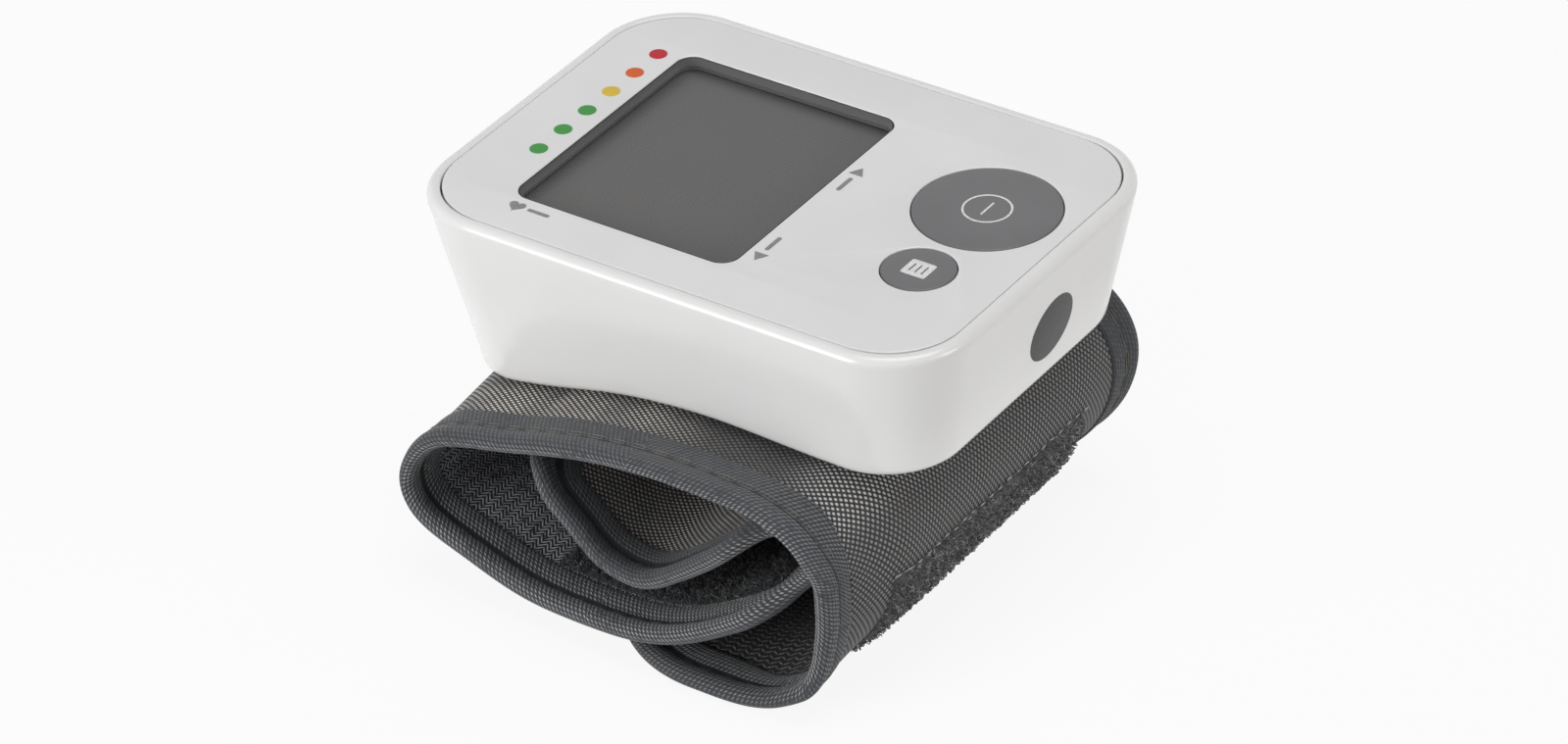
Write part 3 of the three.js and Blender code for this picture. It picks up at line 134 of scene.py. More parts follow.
class Finish(Nodes):
    def __init__(self, name):
        self.material = bpy.data.materials.new(name)
        self.material.use_nodes = True
        super().__init__(self.material.node_tree)
        self.tree.nodes.clear()
        self.end = self.tree.nodes.new("ShaderNodeOutputMaterial")

    def place(self):
        return self.add("ShaderNodeTexCoord", out="Object")

    def axes(self, vector=None):
        split = self.add("ShaderNodeSeparateXYZ", {}, {0: vector or self.place()})
        return [split.twin(i) for i in range(3)]

    # place on the flat pattern in mm, along and across
    def cloth(self):
        u, v, _ = self.axes(self.add("ShaderNodeUVMap", {"uv_map": "clothMap"}))
        perUnit = 1 / (mapScale * mm)
        return u * perUnit, v * perUnit

    def cloud(self, scale, detail=2.0, vector=None):
        return self.add("ShaderNodeTexNoise", {},
                        {"Vector": vector or self.place(), "Scale": scale, "Detail": detail}, "Fac")

    def mix(self, share, first, second):
        return self.add("ShaderNodeMix", {"data_type": "RGBA"}, {0: share, 6: tint(first), 7: tint(second)}, 2)

    def bump(self, height, depth, strength=1.0):
        return self.add("ShaderNodeBump", {}, {"Height": height, "Distance": depth, "Strength": strength})

    def close(self, shader):
        self.tree.links.new(shader.socket, self.end.inputs["Surface"])
        return self.material

    def surface(self, **sockets):
        named = {name.replace("_", " "): value for name, value in sockets.items()}
        return self.close(self.add("ShaderNodeBsdfPrincipled", {}, named))


def tint(colour):
    if isinstance(colour, tuple) and len(colour) == 3:
        return (*colour, 1.0)
    return colour


# grey or colour as it is read off a screen, made linear
def shade(*levels):
    if len(levels) == 1:
        levels = levels * 3
    steps = [level / 255 for level in levels]
    return tuple(c / 12.92 if c <= 0.04045 else ((c + 0.055) / 1.055) ** 2.4 for c in steps)


def smoothStep(x, low, high):
    t = np.clip((np.asarray(x, float) - low) / (high - low), 0, 1)
    return t * t * (3 - 2 * t)


def wobble(x, y, z=0.0):
    return noise.noise(Vector((x, y, z)))


# sizes in mm, made metres
def inMm(**sizes):
    def scaled(value):
        return value * mm if np.isscalar(value) else type(value)(scaled(part) for part in value)
    return {name: scaled(value) for name, value in sizes.items()}


def addPiece(name, mesh, *materials):
    piece = bpy.data.objects.new(name, mesh)
    scene.collection.objects.link(piece)
    for material in materials:
        mesh.materials.append(material)
    return piece


# what a piece moves with, and the solids that it stands for, which are hidden; the slot is not used
def dress(piece, body, slot, *solids):
    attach(piece, body)
    if solids:
        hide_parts(*solids)


def roundOff(mesh, angle=35):
    for face in mesh.polygons:
        face.use_smooth = True
    mesh.set_sharp_from_angle(angle=math.radians(angle))


def turnOut(mesh, weld=0.0):
    work = bmesh.new()
    work.from_mesh(mesh)
    if weld:
        bmesh.ops.remove_doubles(work, verts=work.verts, dist=weld)
    bmesh.ops.recalc_face_normals(work, faces=work.faces)
    work.to_mesh(mesh)
    work.free()


def bareMesh(name, points, faces, edges=()):
    mesh = bpy.data.meshes.new(name)
    mesh.from_pydata([tuple(p) for p in points], list(edges), faces)
    return mesh


# a cloth also carries each point's place on its flat pattern
def meshFrom(name, points, faces, sharpAngle=35, flat=None, faceOut=True):
    mesh = bareMesh(name, points, faces)
    mesh.update()
    if faceOut:
        turnOut(mesh)
    if flat is not None:
        layer = mesh.uv_layers.new(name="clothMap")
        corner = np.empty(len(mesh.loops), np.int32)
        mesh.loops.foreach_get("vertex_index", corner)
        layer.data.foreach_set("uv", (flat * mapScale)[corner].ravel().astype(np.float32))
    roundOff(mesh, sharpAngle)
    return mesh


# mesh of an object with its modifiers, or its curve's thickness, applied
def evaluated(carrier):
    bpy.context.view_layer.update()
    return bpy.data.meshes.new_from_object(carrier.evaluated_get(bpy.context.evaluated_depsgraph_get()))


# quads between closed rings of points, and from the last ring to the first if they close too
def ringFaces(rings, count, closed=False):
    faces = []
    for k in range(rings if closed else rings - 1):
        here, there = k * count, (k + 1) % rings * count
        for i in range(count):
            j = (i + 1) % count
            faces.append((here + i, here + j, there + j, there + i))
    return faces


def gridFaces(rows, columns):
    corners = [r * columns + c for r in range(rows - 1) for c in range(columns - 1)]
    return [(a, a + 1, a + columns + 1, a + columns) for a in corners]


# profile of radius and height pairs turned about an upright line
def turned(profile, centre, steps):
    points = [(x, y, centre[2] + height) for radius, height in profile for x, y in circle(radius, centre, steps)]
    last = (len(profile) - 1) * steps
    ends = [tuple(range(steps - 1, -1, -1)), tuple(range(last, last + steps))]
    return points, ringFaces(len(profile), steps) + ends


# points round a rectangle with rounded corners; sideSteps puts more along each side
def roundedRing(left, right, front, back, radius, cornerSteps, sideSteps=1):
    arcs = []
    for x, y, start in ((right - radius, front + radius, -90), (right - radius, back - radius, 0),
                        (left + radius, back - radius, 90), (left + radius, front + radius, 180)):
        angles = [math.radians(start + 90 * step / cornerSteps) for step in range(cornerSteps + 1)]
        arcs.append([(x + radius * math.cos(a), y + radius * math.sin(a)) for a in angles])
    ring = []
    for here, there in zip(arcs, arcs[1:] + arcs[:1]):
        ring += here
        (x0, y0), (x1, y1) = here[-1], there[0]
        for t in (step / sideSteps for step in range(1, sideSteps)):
            ring.append((x0 + (x1 - x0) * t, y0 + (y1 - y0) * t))
    return ring


# a quarter round, as shares of its radius: how deep and how far in, from its top edge out to the wall
def quarterRound(steps):
    angles = [math.pi / 2 * (1 - step / steps) for step in range(steps + 1)]
    return [(1 - math.sin(a), 1 - math.cos(a)) for a in angles]


def roundedRect(length, width, radius, centre, steps):
    x, y = centre
    return roundedRing(x - length / 2, x + length / 2, y - width / 2, y + width / 2, radius, steps)


def circle(radius, centre=(0, 0), steps=72):
    return [(centre[0] + radius * math.cos(2 * math.pi * i / steps),
             centre[1] + radius * math.sin(2 * math.pi * i / steps)) for i in range(steps)]


# flat plate with holes and rounded edges: the first outline is the rim, the others are holes
def plate(name, outlines, top, thickness, edge):
    curve = bpy.data.curves.new(name, "CURVE")
    curve.dimensions = "2D"
    curve.fill_mode = "BOTH"
    curve.extrude = thickness / 2 - edge
    curve.bevel_depth = edge
    curve.bevel_resolution = 3
    for outline in outlines:
        spline = curve.splines.new("POLY")
        spline.points.add(len(outline) - 1)
        for point, (x, y) in zip(spline.points, outline):
            point.co = (x, y, 0, 1)
        spline.use_cyclic_u = True
    carrier = addPiece(name + "Outline", curve)
    mesh = evaluated(carrier)
    bpy.data.objects.remove(carrier)
    mesh.transform(Matrix.Translation((0, 0, top - thickness / 2)))
    mesh.materials.clear()
    turnOut(mesh, weld=1e-7)
    roundOff(mesh)
    return mesh


# where the photograph was taken from, round the middle of the unit's top
shot = {
    "azimuth": 35.198, "elevation": 32.413, "roll": -2.413,
    "distance": 0.9063, "lens": 157.5, "sensor": 36, "clipStart": 0.01,
    "aimAcross": 0.000442, "aimDown": 0.02821,
    "topCentre": (0.0, 0.0056, 0.0526),
}


def setCamera():
    az, el, roll = (math.radians(shot[k]) for k in ("azimuth", "elevation", "roll"))
    back = Vector((math.sin(az) * math.cos(el), -math.cos(az) * math.cos(el), math.sin(el)))
    right = Vector((0, 0, 1)).cross(back).normalized()
    up = back.cross(right)
    turnedRight = math.cos(roll) * right + math.sin(roll) * up
    turnedUp = -math.sin(roll) * right + math.cos(roll) * up
    view = (-back + shot["aimAcross"] * turnedRight - shot["aimDown"] * turnedUp).normalized()
    side = view.cross(turnedUp).normalized()
    top = side.cross(view)
    data = bpy.data.cameras.new("camera")
    data.lens = shot["lens"]
    data.sensor_width = shot["sensor"]
    data.clip_start = shot["clipStart"]
    camera = addPiece("camera", data)
    place = Matrix((side, top, -view)).transposed().to_4x4()
    place.translation = Vector(shot["topCentre"]) + shot["distance"] * back
    camera.matrix_world = place
    scene.camera = camera


# lamps: name, place, aim, size, power in watts, colour
studio = {
    "world": 0.27, "floorGlow": 0.9, "floorReach": 6,
    "lamps": [
        ("overhead", (0.08, 0.05, 0.75), (0, 0, 0.02), 0.55, 2.15, (1, 1, 1)),
        ("keySide", (-0.45, -0.75, 0.60), (0, 0, 0.02), 0.45, 1.0, (1, 1, 1)),
        ("frontFill", (-0.38, -0.95, 0.28), (0, 0, 0.03), 0.5, 5.2, (1, 1, 1)),
        ("rightFill", (0.85, 0.12, 0.28), (0, 0, 0.03), 0.40, 1.7, (1, 0.97, 0.94)),
    ],
}


def setStudio():
    world = bpy.data.worlds.new("studio")
    scene.world = world
    world.use_nodes = True
    look = Nodes(world.node_tree)
    world.node_tree.nodes.clear()
    level = look.seen() * (1 - studio["world"]) + studio["world"]
    sky = look.add("ShaderNodeBackground", {}, {"Color": (1, 1, 1, 1), "Strength": level})
    end = world.node_tree.nodes.new("ShaderNodeOutputWorld")
    world.node_tree.links.new(sky.socket, end.inputs["Surface"])
    for name, place, aim, size, power, colour in studio["lamps"]:
        data = bpy.data.lights.new(name, "AREA")
        data.shape = "DISK"
        data.size = size
        data.energy = power
        data.color = colour
        lamp = addPiece(name, data)
        lamp.location = place
        lamp.rotation_euler = (Vector(aim) - Vector(place)).to_track_quat("-Z", "Y").to_euler()
    finish = Finish("paleFloor")
    colour = finish.mix(finish.cloud(40, 3), (0.84, 0.84, 0.84), (0.88, 0.88, 0.88))
    paper = finish.add("ShaderNodeBsdfDiffuse", {}, {"Color": colour})
    glow = finish.add("ShaderNodeEmission", {}, {"Color": (1, 1, 1, 1), "Strength": 1.0})
    share = finish.seen() * studio["floorGlow"]
    material = finish.close(finish.add("ShaderNodeMixShader", {}, {0: share, 1: paper, 2: glow}))
    reach = studio["floorReach"]
    corners = [(-reach, -reach, 0), (reach, -reach, 0), (reach, reach, 0), (-reach, reach, 0)]
    addPiece("floor", bareMesh("floor", corners, [(0, 1, 2, 3)]), material)


setCamera()
setStudio()
print("camera and studio")


# the wall's colour is painted paler towards its lower edge, painted light that stands in for the light the cuff keeps
# off it
lowerWallLight = {"heights": (0.027, 0.047), "colour": (0.93, 0.93, 0.925)}


# the last argument: how much of that painted light the plastic shows
def mouldedPlastic(name, light, dark, roughness, coat, peel, lowerLightShare=0.0):
    finish = Finish(name)
    low = finish.axes()[2].fall(*lowerWallLight["heights"])
    speck = finish.cloud(1800, 2)
    colour = finish.mix(finish.cloud(70, 3).rise(0.3, 0.7), dark, light)
    return finish.surface(
        Base_Color=finish.mix(low * lowerLightShare, colour, lowerWallLight["colour"]), Roughness=roughness + (speck - 0.5) * 0.08,
        Coat_Weight=coat, Coat_Roughness=0.08, Normal=finish.bump(speck, peel, 0.25))


def brushedMetal(name, colour, roughness):
    finish = Finish(name)
    drawn = finish.add("ShaderNodeMapping", {}, {"Vector": finish.place(), "Scale": (200, 3500, 3500)})
    lines = finish.cloud(1, 3, drawn)
    dark = tuple(c * 0.72 for c in colour)
    return finish.surface(Base_Color=finish.mix(lines, dark, colour), Metallic=1.0,
                          Roughness=roughness + lines * 0.2, Normal=finish.bump(lines, 0.00002, 0.3))


def rubberFinish(name, colour):
    finish = Finish(name)
    grain = finish.cloud(2600, 3)
    pale = tuple(min(1, c * 1.5 + 0.01) for c in colour)
    return finish.surface(Base_Color=finish.mix(finish.cloud(240, 2).rise(0.4, 0.75), colour, pale),
                          Roughness=0.62 + grain * 0.2, Normal=finish.bump(grain, 0.00004, 0.5))


def boardFinish():
    finish = Finish("boardGreen")
    x, y, _ = finish.axes()
    lanes = abs((x * 420).within()).rise(0.32, 0.38) * (y * 90).part().rise(0.2, 0.25)
    weave = finish.cloud(1500, 2)
    return finish.surface(Base_Color=finish.mix(lanes, shade(28, 92, 52), shade(58, 132, 78)),
                          Roughness=0.34 + weave * 0.15, Normal=finish.bump(lanes + weave * 0.3, 0.00003, 0.5))


def sleeveFinish():
    finish = Finish("cellSleeve")
    bandPlace, bandEnd = -0.014, (0.0062, 0.0066)
    band = abs(finish.axes()[1] - bandPlace).rise(*bandEnd)
    return finish.surface(Base_Color=finish.mix(band, shade(196, 152, 70), shade(44, 46, 50)), Metallic=0.35,
                          Roughness=0.28 + finish.cloud(800, 4) * 0.2)


# fine dots, and the shadow that the panel throws on two sides
def displayFinish():
    finish = Finish("displayGrey")
    x, y, _ = finish.axes()
    dotsPerMetre, shadowReach = 2100, (0.0006, 0.0038)
    dotX, dotY = (abs((axis * dotsPerMetre).within()).rise(0.18, 0.32) for axis in (x, y))
    dots = dotX * dotY
    low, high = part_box("lcd_panel")
    # painted shadow of the panel, darkest at the display's left and back edges
    panelShadow = (x - low[0]).least(high[1] - y).fall(*shadowReach)
    base = finish.mix(finish.cloud(60, 2), shade(118, 117, 117), shade(123, 122, 121))
    colour = finish.mix(dots, base, shade(107, 106, 106))
    return finish.surface(Base_Color=finish.mix(panelShadow * 0.65, colour, shade(60)), Roughness=0.65 + dots * 0.1,
                          Specular_IOR_Level=0.1)


def clearFinish():
    finish = Finish("clearWindow")
    edge = finish.add("ShaderNodeFresnel", {}, {"IOR": 1.45})
    rough = 0.04 + finish.cloud(120, 3) * 0.05
    gloss = finish.add("ShaderNodeBsdfGlossy", {}, {"Color": (1, 1, 1, 1), "Roughness": rough})
    clear = finish.add("ShaderNodeBsdfTransparent", {}, {"Color": (0.94, 0.94, 0.94, 1)})
    inside = finish.add("ShaderNodeNewGeometry", out="Backfacing")
    return finish.close(finish.add("ShaderNodeMixShader", {}, {0: edge * 0.3 * (1 - inside), 1: clear, 2: gloss}))


def inkSurface(finish, colour, fleck):
    return finish.surface(Base_Color=colour, Roughness=0.5 + fleck * 0.1, Specular_IOR_Level=0.25)


def dotsFinish(middleY, reach):
    finish = Finish("printedDots")
    share = (finish.axes()[1] - (middleY - reach)) / (2 * reach)
    fleck = finish.cloud(3000, 2)
    colours = finish.add("ShaderNodeValToRGB", {"interpolation": "CONSTANT", "stops": [
        (0.0, shade(56, 142, 60)), (0.5, shade(216, 184, 60)), (0.667, shade(212, 92, 28)),
        (0.833, shade(186, 24, 36))]}, {"Fac": share})
    return inkSurface(finish, finish.mix(fleck * 0.04, colours, (1.0, 1.0, 1.0)), fleck)


def printFinish(name, colour):
    finish = Finish(name)
    fleck = finish.cloud(4000, 3)
    pale = tuple(min(1, c * 1.25 + 0.02) for c in colour)
    return inkSurface(finish, finish.mix(fleck.rise(0.35, 0.7), colour, pale), fleck)


finishes = {
    # the shell's last number: painted light on its lower wall
    "shell": mouldedPlastic("shellWhite", (0.78, 0.78, 0.775), (0.76, 0.76, 0.755), 0.22, 0.25, 0.00001, 0.8),
    "panel": mouldedPlastic("panelWhite", (0.75, 0.75, 0.755), (0.725, 0.725, 0.73), 0.14, 0.4, 0.000006),
    # dark grey for the walls round the window: painted shade of the recess
    "shadow": mouldedPlastic("windowSurround", shade(104), shade(98), 0.9, 0.0, 0.00001),
    "button": mouldedPlastic("buttonGrey", shade(102, 102, 104), shade(96, 96, 98), 0.4, 0.0, 0.00002),
    "nylon": mouldedPlastic("paleNylon", shade(224, 222, 214), shade(212, 210, 202), 0.45, 0.0, 0.00003),
    "black": mouldedPlastic("blackMoulding", shade(38), shade(28), 0.42, 0.0, 0.00003),
    "steel": brushedMetal("brightSteel", (0.72, 0.72, 0.71), 0.22),
    "rubber": rubberFinish("contactRubber", shade(52, 50, 50)),
    "silicone": rubberFinish("silicone", shade(206, 204, 196)),
    "board": boardFinish(),
    "sleeve": sleeveFinish(),
    "display": displayFinish(),
    "clear": clearFinish(),
    "mark": printFinish("markPrint", shade(214)),
    "hint": printFinish("hintPrint", shade(128, 128, 129)),
    "label": printFinish("labelGrey", shade(78, 78, 79)),
}

dressing = {
    "shell": ["battery_door", "rear_cover"],
    "display": ["lcd_panel"],
    "nylon": ["lcd_holder", "air_manifold", "air_nipple", "exhaust_valve", "pressure_sensor"],
    "rubber": ["lcd_contact_strip_front", "lcd_contact_strip_back"],
    "board": ["main_board"],
    "black": ["controller_chip", "buzzer"],
    "steel": ["start_switch_dome", "memory_switch_dome", "board_screw_1", "board_screw_2", "air_pump",
              "case_screw_1", "case_screw_2", "case_screw_3", "case_screw_4",
              "battery_link_contact", "battery_contact_1", "battery_contact_2"],
    "silicone": ["pump_tube", "valve_tube"],
    "sleeve": ["battery_1", "battery_2"],
}
for finishName, names in dressing.items():
    for name in names:
        held = nodes[name].data.materials
        if not held:
            held.append(finishes[finishName])
        for index in range(len(held)):
            held[index] = finishes[finishName]
print("hard finishes")


housing = {
    **inMm(length=84, width=62, corner=12.5, leastCorner=0.8, wall=2, rim=2.2, rimFillet=1.5, seam=0.06, seamEdge=0.25,
           lowerFillet=1.4, ledge=2.5, ledgeTop=-2.5, ledgeBottom=-4.1, middleDepth=22,
           doorHalfWidth=23.3, doorTop=-9.2, doorBottom=-25.3, doorReach=(-60, -30)),
    "cornerShrink": 0.07, "leftTaper": math.radians(11.5), "rightTaper": math.radians(10.5),
    "sideTaper": math.radians(9.5), "sharpAngle": 32,
    "seamSteps": 3, "rimSteps": 8, "wallSteps": 12, "lowerSteps": 5, "cornerSteps": 22, "sideSteps": 14,
    "depthRounds": 6,
}
topCentre = Vector(shot["topCentre"])
underside = [(-42, -29.6), (-22, -25.6), (-8, -21.96), (6, -20.4), (24, -21), (42, -21)]


# even steps along a spline that passes through each point
def throughPoints(points, perSpan):
    path = []
    last = len(points) - 1
    for span in range(last):
        p0, p1 = points[max(span - 1, 0)], points[span]
        p2, p3 = points[span + 1], points[min(span + 2, last)]
        for step in range(perSpan):
            t = step / perSpan
            path.append([
                0.5 * (2 * p1[k] + (p2[k] - p0[k]) * t + (2 * p0[k] - 5 * p1[k] + 4 * p2[k] - p3[k]) * t * t
                       + (3 * p1[k] - p0[k] - 3 * p2[k] + p3[k]) * t ** 3) for k in range(2)])
    path.append(list(points[last]))
    return np.array(path)


undersideCourse = throughPoints(underside, 24) * mm


def undersideAt(x):
    return np.interp(x, undersideCourse[:, 0], undersideCourse[:, 1])


# points round the wall at one height, drawn in by the tapers and an inset
def wallRing(depth, inset):
    h = housing
    left = -h["length"] / 2 + depth * math.tan(h["leftTaper"]) + inset
    right = h["length"] / 2 - depth * math.tan(h["rightTaper"]) - inset
    side = h["width"] / 2 - depth * math.tan(h["sideTaper"]) - inset
    radius = max(h["corner"] - depth * h["cornerShrink"] - inset, h["leastCorner"])
    return np.array(roundedRing(left, right, -side, side, radius, h["cornerSteps"], h["sideSteps"]))


def makeHousing():
    h = housing
    levels = []

    def level(depth, inset, height=None):
        ring = wallRing(depth, inset)
        levels.append(np.column_stack([ring, np.full(len(ring), -depth if height is None else height)]))

    # down the outside, one ring of points per level; the lower levels follow the arched underside
    recess = h["rim"] - h["seam"]
    level(0, recess + h["ledge"], h["ledgeTop"])
    level(0, recess, h["ledgeTop"])
    for deep, inward in quarterRound(h["seamSteps"])[::-1]:
        level(0, recess - h["seamEdge"] * inward, -h["seamEdge"] * deep)
    for deep, inward in quarterRound(h["rimSteps"]):
        level(h["rimFillet"] * deep, h["rimFillet"] * inward)
    start = h["rimFillet"]

    # how deep the wall meets the arched underside, all round
    def underDepth(inset, lift):
        depth = np.full(len(levels[0]), h["middleDepth"])
        for _ in range(h["depthRounds"]):
            ring = np.array([wallRing(d, inset)[i] for i, d in enumerate(depth)])
            depth = -(undersideAt(ring[:, 0]) + lift)
        return depth

    # a ring whose depth differs from point to point
    def follow(depths, inset):
        levels.append(np.array([[*wallRing(d, inset)[i], -d] for i, d in enumerate(depths)]))

    bottom = underDepth(0, h["lowerFillet"])
    for step in range(1, h["wallSteps"] + 1):
        follow(start + (bottom - start) * step / h["wallSteps"], 0)
    for lift, inward in quarterRound(h["lowerSteps"])[-2::-1]:
        inset = h["lowerFillet"] * inward
        follow(underDepth(inset, h["lowerFillet"] * lift), inset)
    follow(underDepth(h["wall"], 0), h["wall"])
    level(-h["ledgeBottom"], h["wall"])
    level(0, recess + h["ledge"], h["ledgeBottom"])
    points = np.concatenate(levels) + np.array(topCentre)
    mesh = meshFrom("housingShell", points, ringFaces(len(levels), len(levels[0]), True), h["sharpAngle"])
    piece = addPiece("housingShell", mesh, finishes["shell"])
    # opening for the battery door
    corners = [(x, topCentre.y + y, topCentre.z + z) for x in h["doorReach"]
               for y in (-h["doorHalfWidth"], h["doorHalfWidth"]) for z in (h["doorBottom"], h["doorTop"])]
    sides = [(0, 1, 3, 2), (4, 6, 7, 5), (0, 4, 5, 1), (2, 3, 7, 6), (0, 2, 6, 4), (1, 5, 7, 3)]
    cutter = addPiece("doorCut", bareMesh("doorCut", corners, sides))
    step = piece.modifiers.new("door", "BOOLEAN")
    step.operation = "DIFFERENCE"
    step.solver = "EXACT"
    step.object = cutter
    opened = evaluated(piece)
    piece.modifiers.clear()
    piece.data = opened
    bpy.data.objects.remove(cutter)
    roundOff(opened, h["sharpAngle"])
    dress(piece, "unit", "shell_white", "housing_shell")


makeHousing()
print("housing")


panel = inMm(length=79.6, width=57.6, corner=10.8, thickness=2.2, edge=0.2, window=(34.8, 41.2), windowCorner=2.6,
             windowPlace=(-11.4, -0.6), windowThickness=1.4, windowSink=0.12, windowSlack=0.1, surround=0.12)
buttons = {
    "start_button": inMm(radius=10.05, place=(27.4, 7.7)),
    "memory_button": inMm(radius=5.05, place=(27.5, -9)),
}
buttonShape = inMm(gap=0.1, edge=0.3, flange=0.5, flangeTop=2.35, flangeBottom=3.0, stem=2, stemEnd=0.3, crown=0.02)


def onTop(x, y):
    return (topCentre.x + x, topCentre.y + y)


def makePanel():
    p = panel
    e = p["edge"]
    place = onTop(*p["windowPlace"])
    windowLength, windowWidth = p["window"]
    outlines = [
        roundedRect(p["length"] - 2 * e, p["width"] - 2 * e, p["corner"] - e, onTop(0, 0), 20),
        roundedRect(windowLength + 2 * e, windowWidth + 2 * e, p["windowCorner"] + e, place, 12),
    ]
    for button in buttons.values():
        outlines.append(circle(button["radius"] + buttonShape["gap"] + e, onTop(*button["place"]), 96))
    mesh = plate("topPanel", outlines, topCentre.z, p["thickness"], e)
    for face in mesh.polygons:
        near = (abs(face.center.x - place[0]) < windowLength / 2 + p["surround"]
                and abs(face.center.y - place[1]) < windowWidth / 2 + p["surround"])
        # the walls of the window hole take the dark grey: painted shade of the recess
        if near and abs(face.normal.z) < 0.5:
            face.material_index = 1
    piece = addPiece("topPanel", mesh, finishes["panel"], finishes["shadow"])
    dress(piece, "unit", "panel_white", "top_panel")
    margin = p["windowSlack"] + 2 * e
    pane = roundedRect(windowLength - margin, windowWidth - margin, p["windowCorner"] - e, place, 12)
    mesh = plate("displayWindow", [pane], topCentre.z - p["windowSink"], p["windowThickness"] - p["windowSink"], e / 2)
    for face in mesh.polygons:
        # the window's sides and rounded edges take the dark grey: painted shade of the recess
        face.material_index = 0 if abs(face.normal.z) > 0.95 else 1  # dark edge
    piece = addPiece("displayWindow", mesh, finishes["clear"], finishes["shadow"])
    dress(piece, "unit", "clear_window", "display_window")


def makeButtons():
    b = buttonShape
    for name, button in buttons.items():
        radius = button["radius"]
        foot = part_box(name)[0][2] - topCentre.z
        profile = [(b["crown"], b["crown"]), (radius * 0.6, b["crown"] / 2)]
        profile += [(radius - b["edge"] * inward, -b["edge"] * deep) for deep, inward in quarterRound(4)]
        profile += [(radius, -b["flangeTop"]), (radius + b["flange"], -b["flangeTop"]),
                    (radius + b["flange"], -b["flangeBottom"]), (b["stem"], -b["flangeBottom"]),
                    (b["stem"], foot), (b["stemEnd"], foot)]
        mesh = meshFrom(name + "Cap", *turned(profile, (*onTop(*button["place"]), topCentre.z), 96))
        dress(addPiece(name + "Cap", mesh, finishes["button"]), name, "button_grey", name)


marks = {
    **inMm(thickness=0.1, edge=0.02, ring=(3.4, 0.13), bar=(0.26, 3.2, 0.12), sheet=(3.7, 3.4, 0.3),
           sheetLines=(0.3, 1.9, 0.95), heart=(-26.2, -23.4), heartSize=1.2, upper=(8.0, 6.6), lower=(8.0, -17.2),
           triangle=1.05, hintBar=(0.6, 3.4), hintCorner=0.25, hintShift=3.5, dotRadius=1.24, dotX=-31.95,
           dotFirst=-10.35, dotPitch=5.59, labelRadius=5, labelY=3.4, labelDepth=11.9, labelHeight=0.1),
    "dotCount": 6,
}


def joinMeshes(name, meshes):
    whole = bmesh.new()
    for mesh in meshes:
        whole.from_mesh(mesh)
    result = bpy.data.meshes.new(name)
    whole.to_mesh(result)
    whole.free()
    return result


def makeMarks():
    m = marks

    def flat(*outlines):
        return plate("mark", outlines, topCentre.z + m["thickness"] / 2, m["thickness"], m["edge"])

    def addMark(name, meshes, material, body, slot):
        dress(addPiece(name, joinMeshes(name, meshes), material), body, slot)

    # start mark: a ring round a bar
    place = onTop(*buttons["start_button"]["place"])
    radius, line = m["ring"]
    ring = flat(circle(radius, place), circle(radius - 2 * line, place))
    bar = flat(roundedRect(*m["bar"], place, 5))
    addMark("startMark", [ring, bar], finishes["mark"], "start_button", "panel_white")
    # memory mark: a sheet with three open lines
    x, y = onTop(*buttons["memory_button"]["place"])
    width, length, pitch = m["sheetLines"]
    lines = [roundedRect(width, length, width * 0.4, (x + k * pitch, y), 4) for k in (-1, 0, 1)]
    sheet = flat(roundedRect(*m["sheet"], (x, y), 5), *lines)
    addMark("memoryMark", [sheet], finishes["mark"], "memory_button", "panel_white")
    # heart, upper and lower triangle beside the window, each with a bar
    x, y = onTop(*m["heart"])
    heart = []
    for step in range(60):
        angle = 2 * math.pi * step / 60
        tall = (13 * math.cos(angle) - 5 * math.cos(2 * angle) - 2 * math.cos(3 * angle) - math.cos(4 * angle)) / 16
        heart.append((x + m["heartSize"] * math.sin(angle) ** 3, y + m["heartSize"] * tall))
    bar = roundedRect(*m["hintBar"][::-1], m["hintCorner"], (x + m["hintShift"], y), 4)
    hints = [flat(heart), flat(bar)]
    size = m["triangle"]
    for spot, way in ((m["upper"], 1), (m["lower"], -1)):
        x, y = onTop(*spot)
        corners = [(x - size, y - way * size * 0.8), (x + size, y - way * size * 0.8), (x, y + way * size * 0.9)]
        bar = roundedRect(*m["hintBar"], m["hintCorner"], (x, y - way * m["hintShift"]), 4)
        hints += [flat(corners[::way]), flat(bar)]
    addMark("readingMarks", hints, finishes["hint"], "unit", "button_grey")
    # row of colour dots
    dots = [flat(circle(m["dotRadius"], onTop(m["dotX"], m["dotFirst"] + k * m["dotPitch"]), 40))
            for k in range(m["dotCount"])]
    middle = topCentre.y + m["dotFirst"] + m["dotPitch"] * (m["dotCount"] - 1) / 2
    addMark("levelDots", dots, dotsFinish(middle, m["dotPitch"] * m["dotCount"] / 2), "unit", "panel_white")
    # blank round label on the right wall
    taper, radius, height = housing["rightTaper"], m["labelRadius"], m["labelHeight"]
    profile = [(height / 2, height), (radius * 0.97, height), (radius, height / 2), (radius, -height / 2),
               (height / 2, -height / 2)]
    label = meshFrom("wallLabel", *turned(profile, (0, 0, 0), 64))
    wallX = housing["length"] / 2 - m["labelDepth"] * math.tan(taper)
    turn = Matrix.Rotation(math.pi / 2 + taper, 4, "Y")
    label.transform(Matrix.Translation(topCentre + Vector((wallX, m["labelY"], -m["labelDepth"]))) @ turn)
    dress(addPiece("wallLabel", label, finishes["label"]), "unit", "button_grey")


makePanel()
makeButtons()
makeMarks()
print("panel, window, buttons and marks")


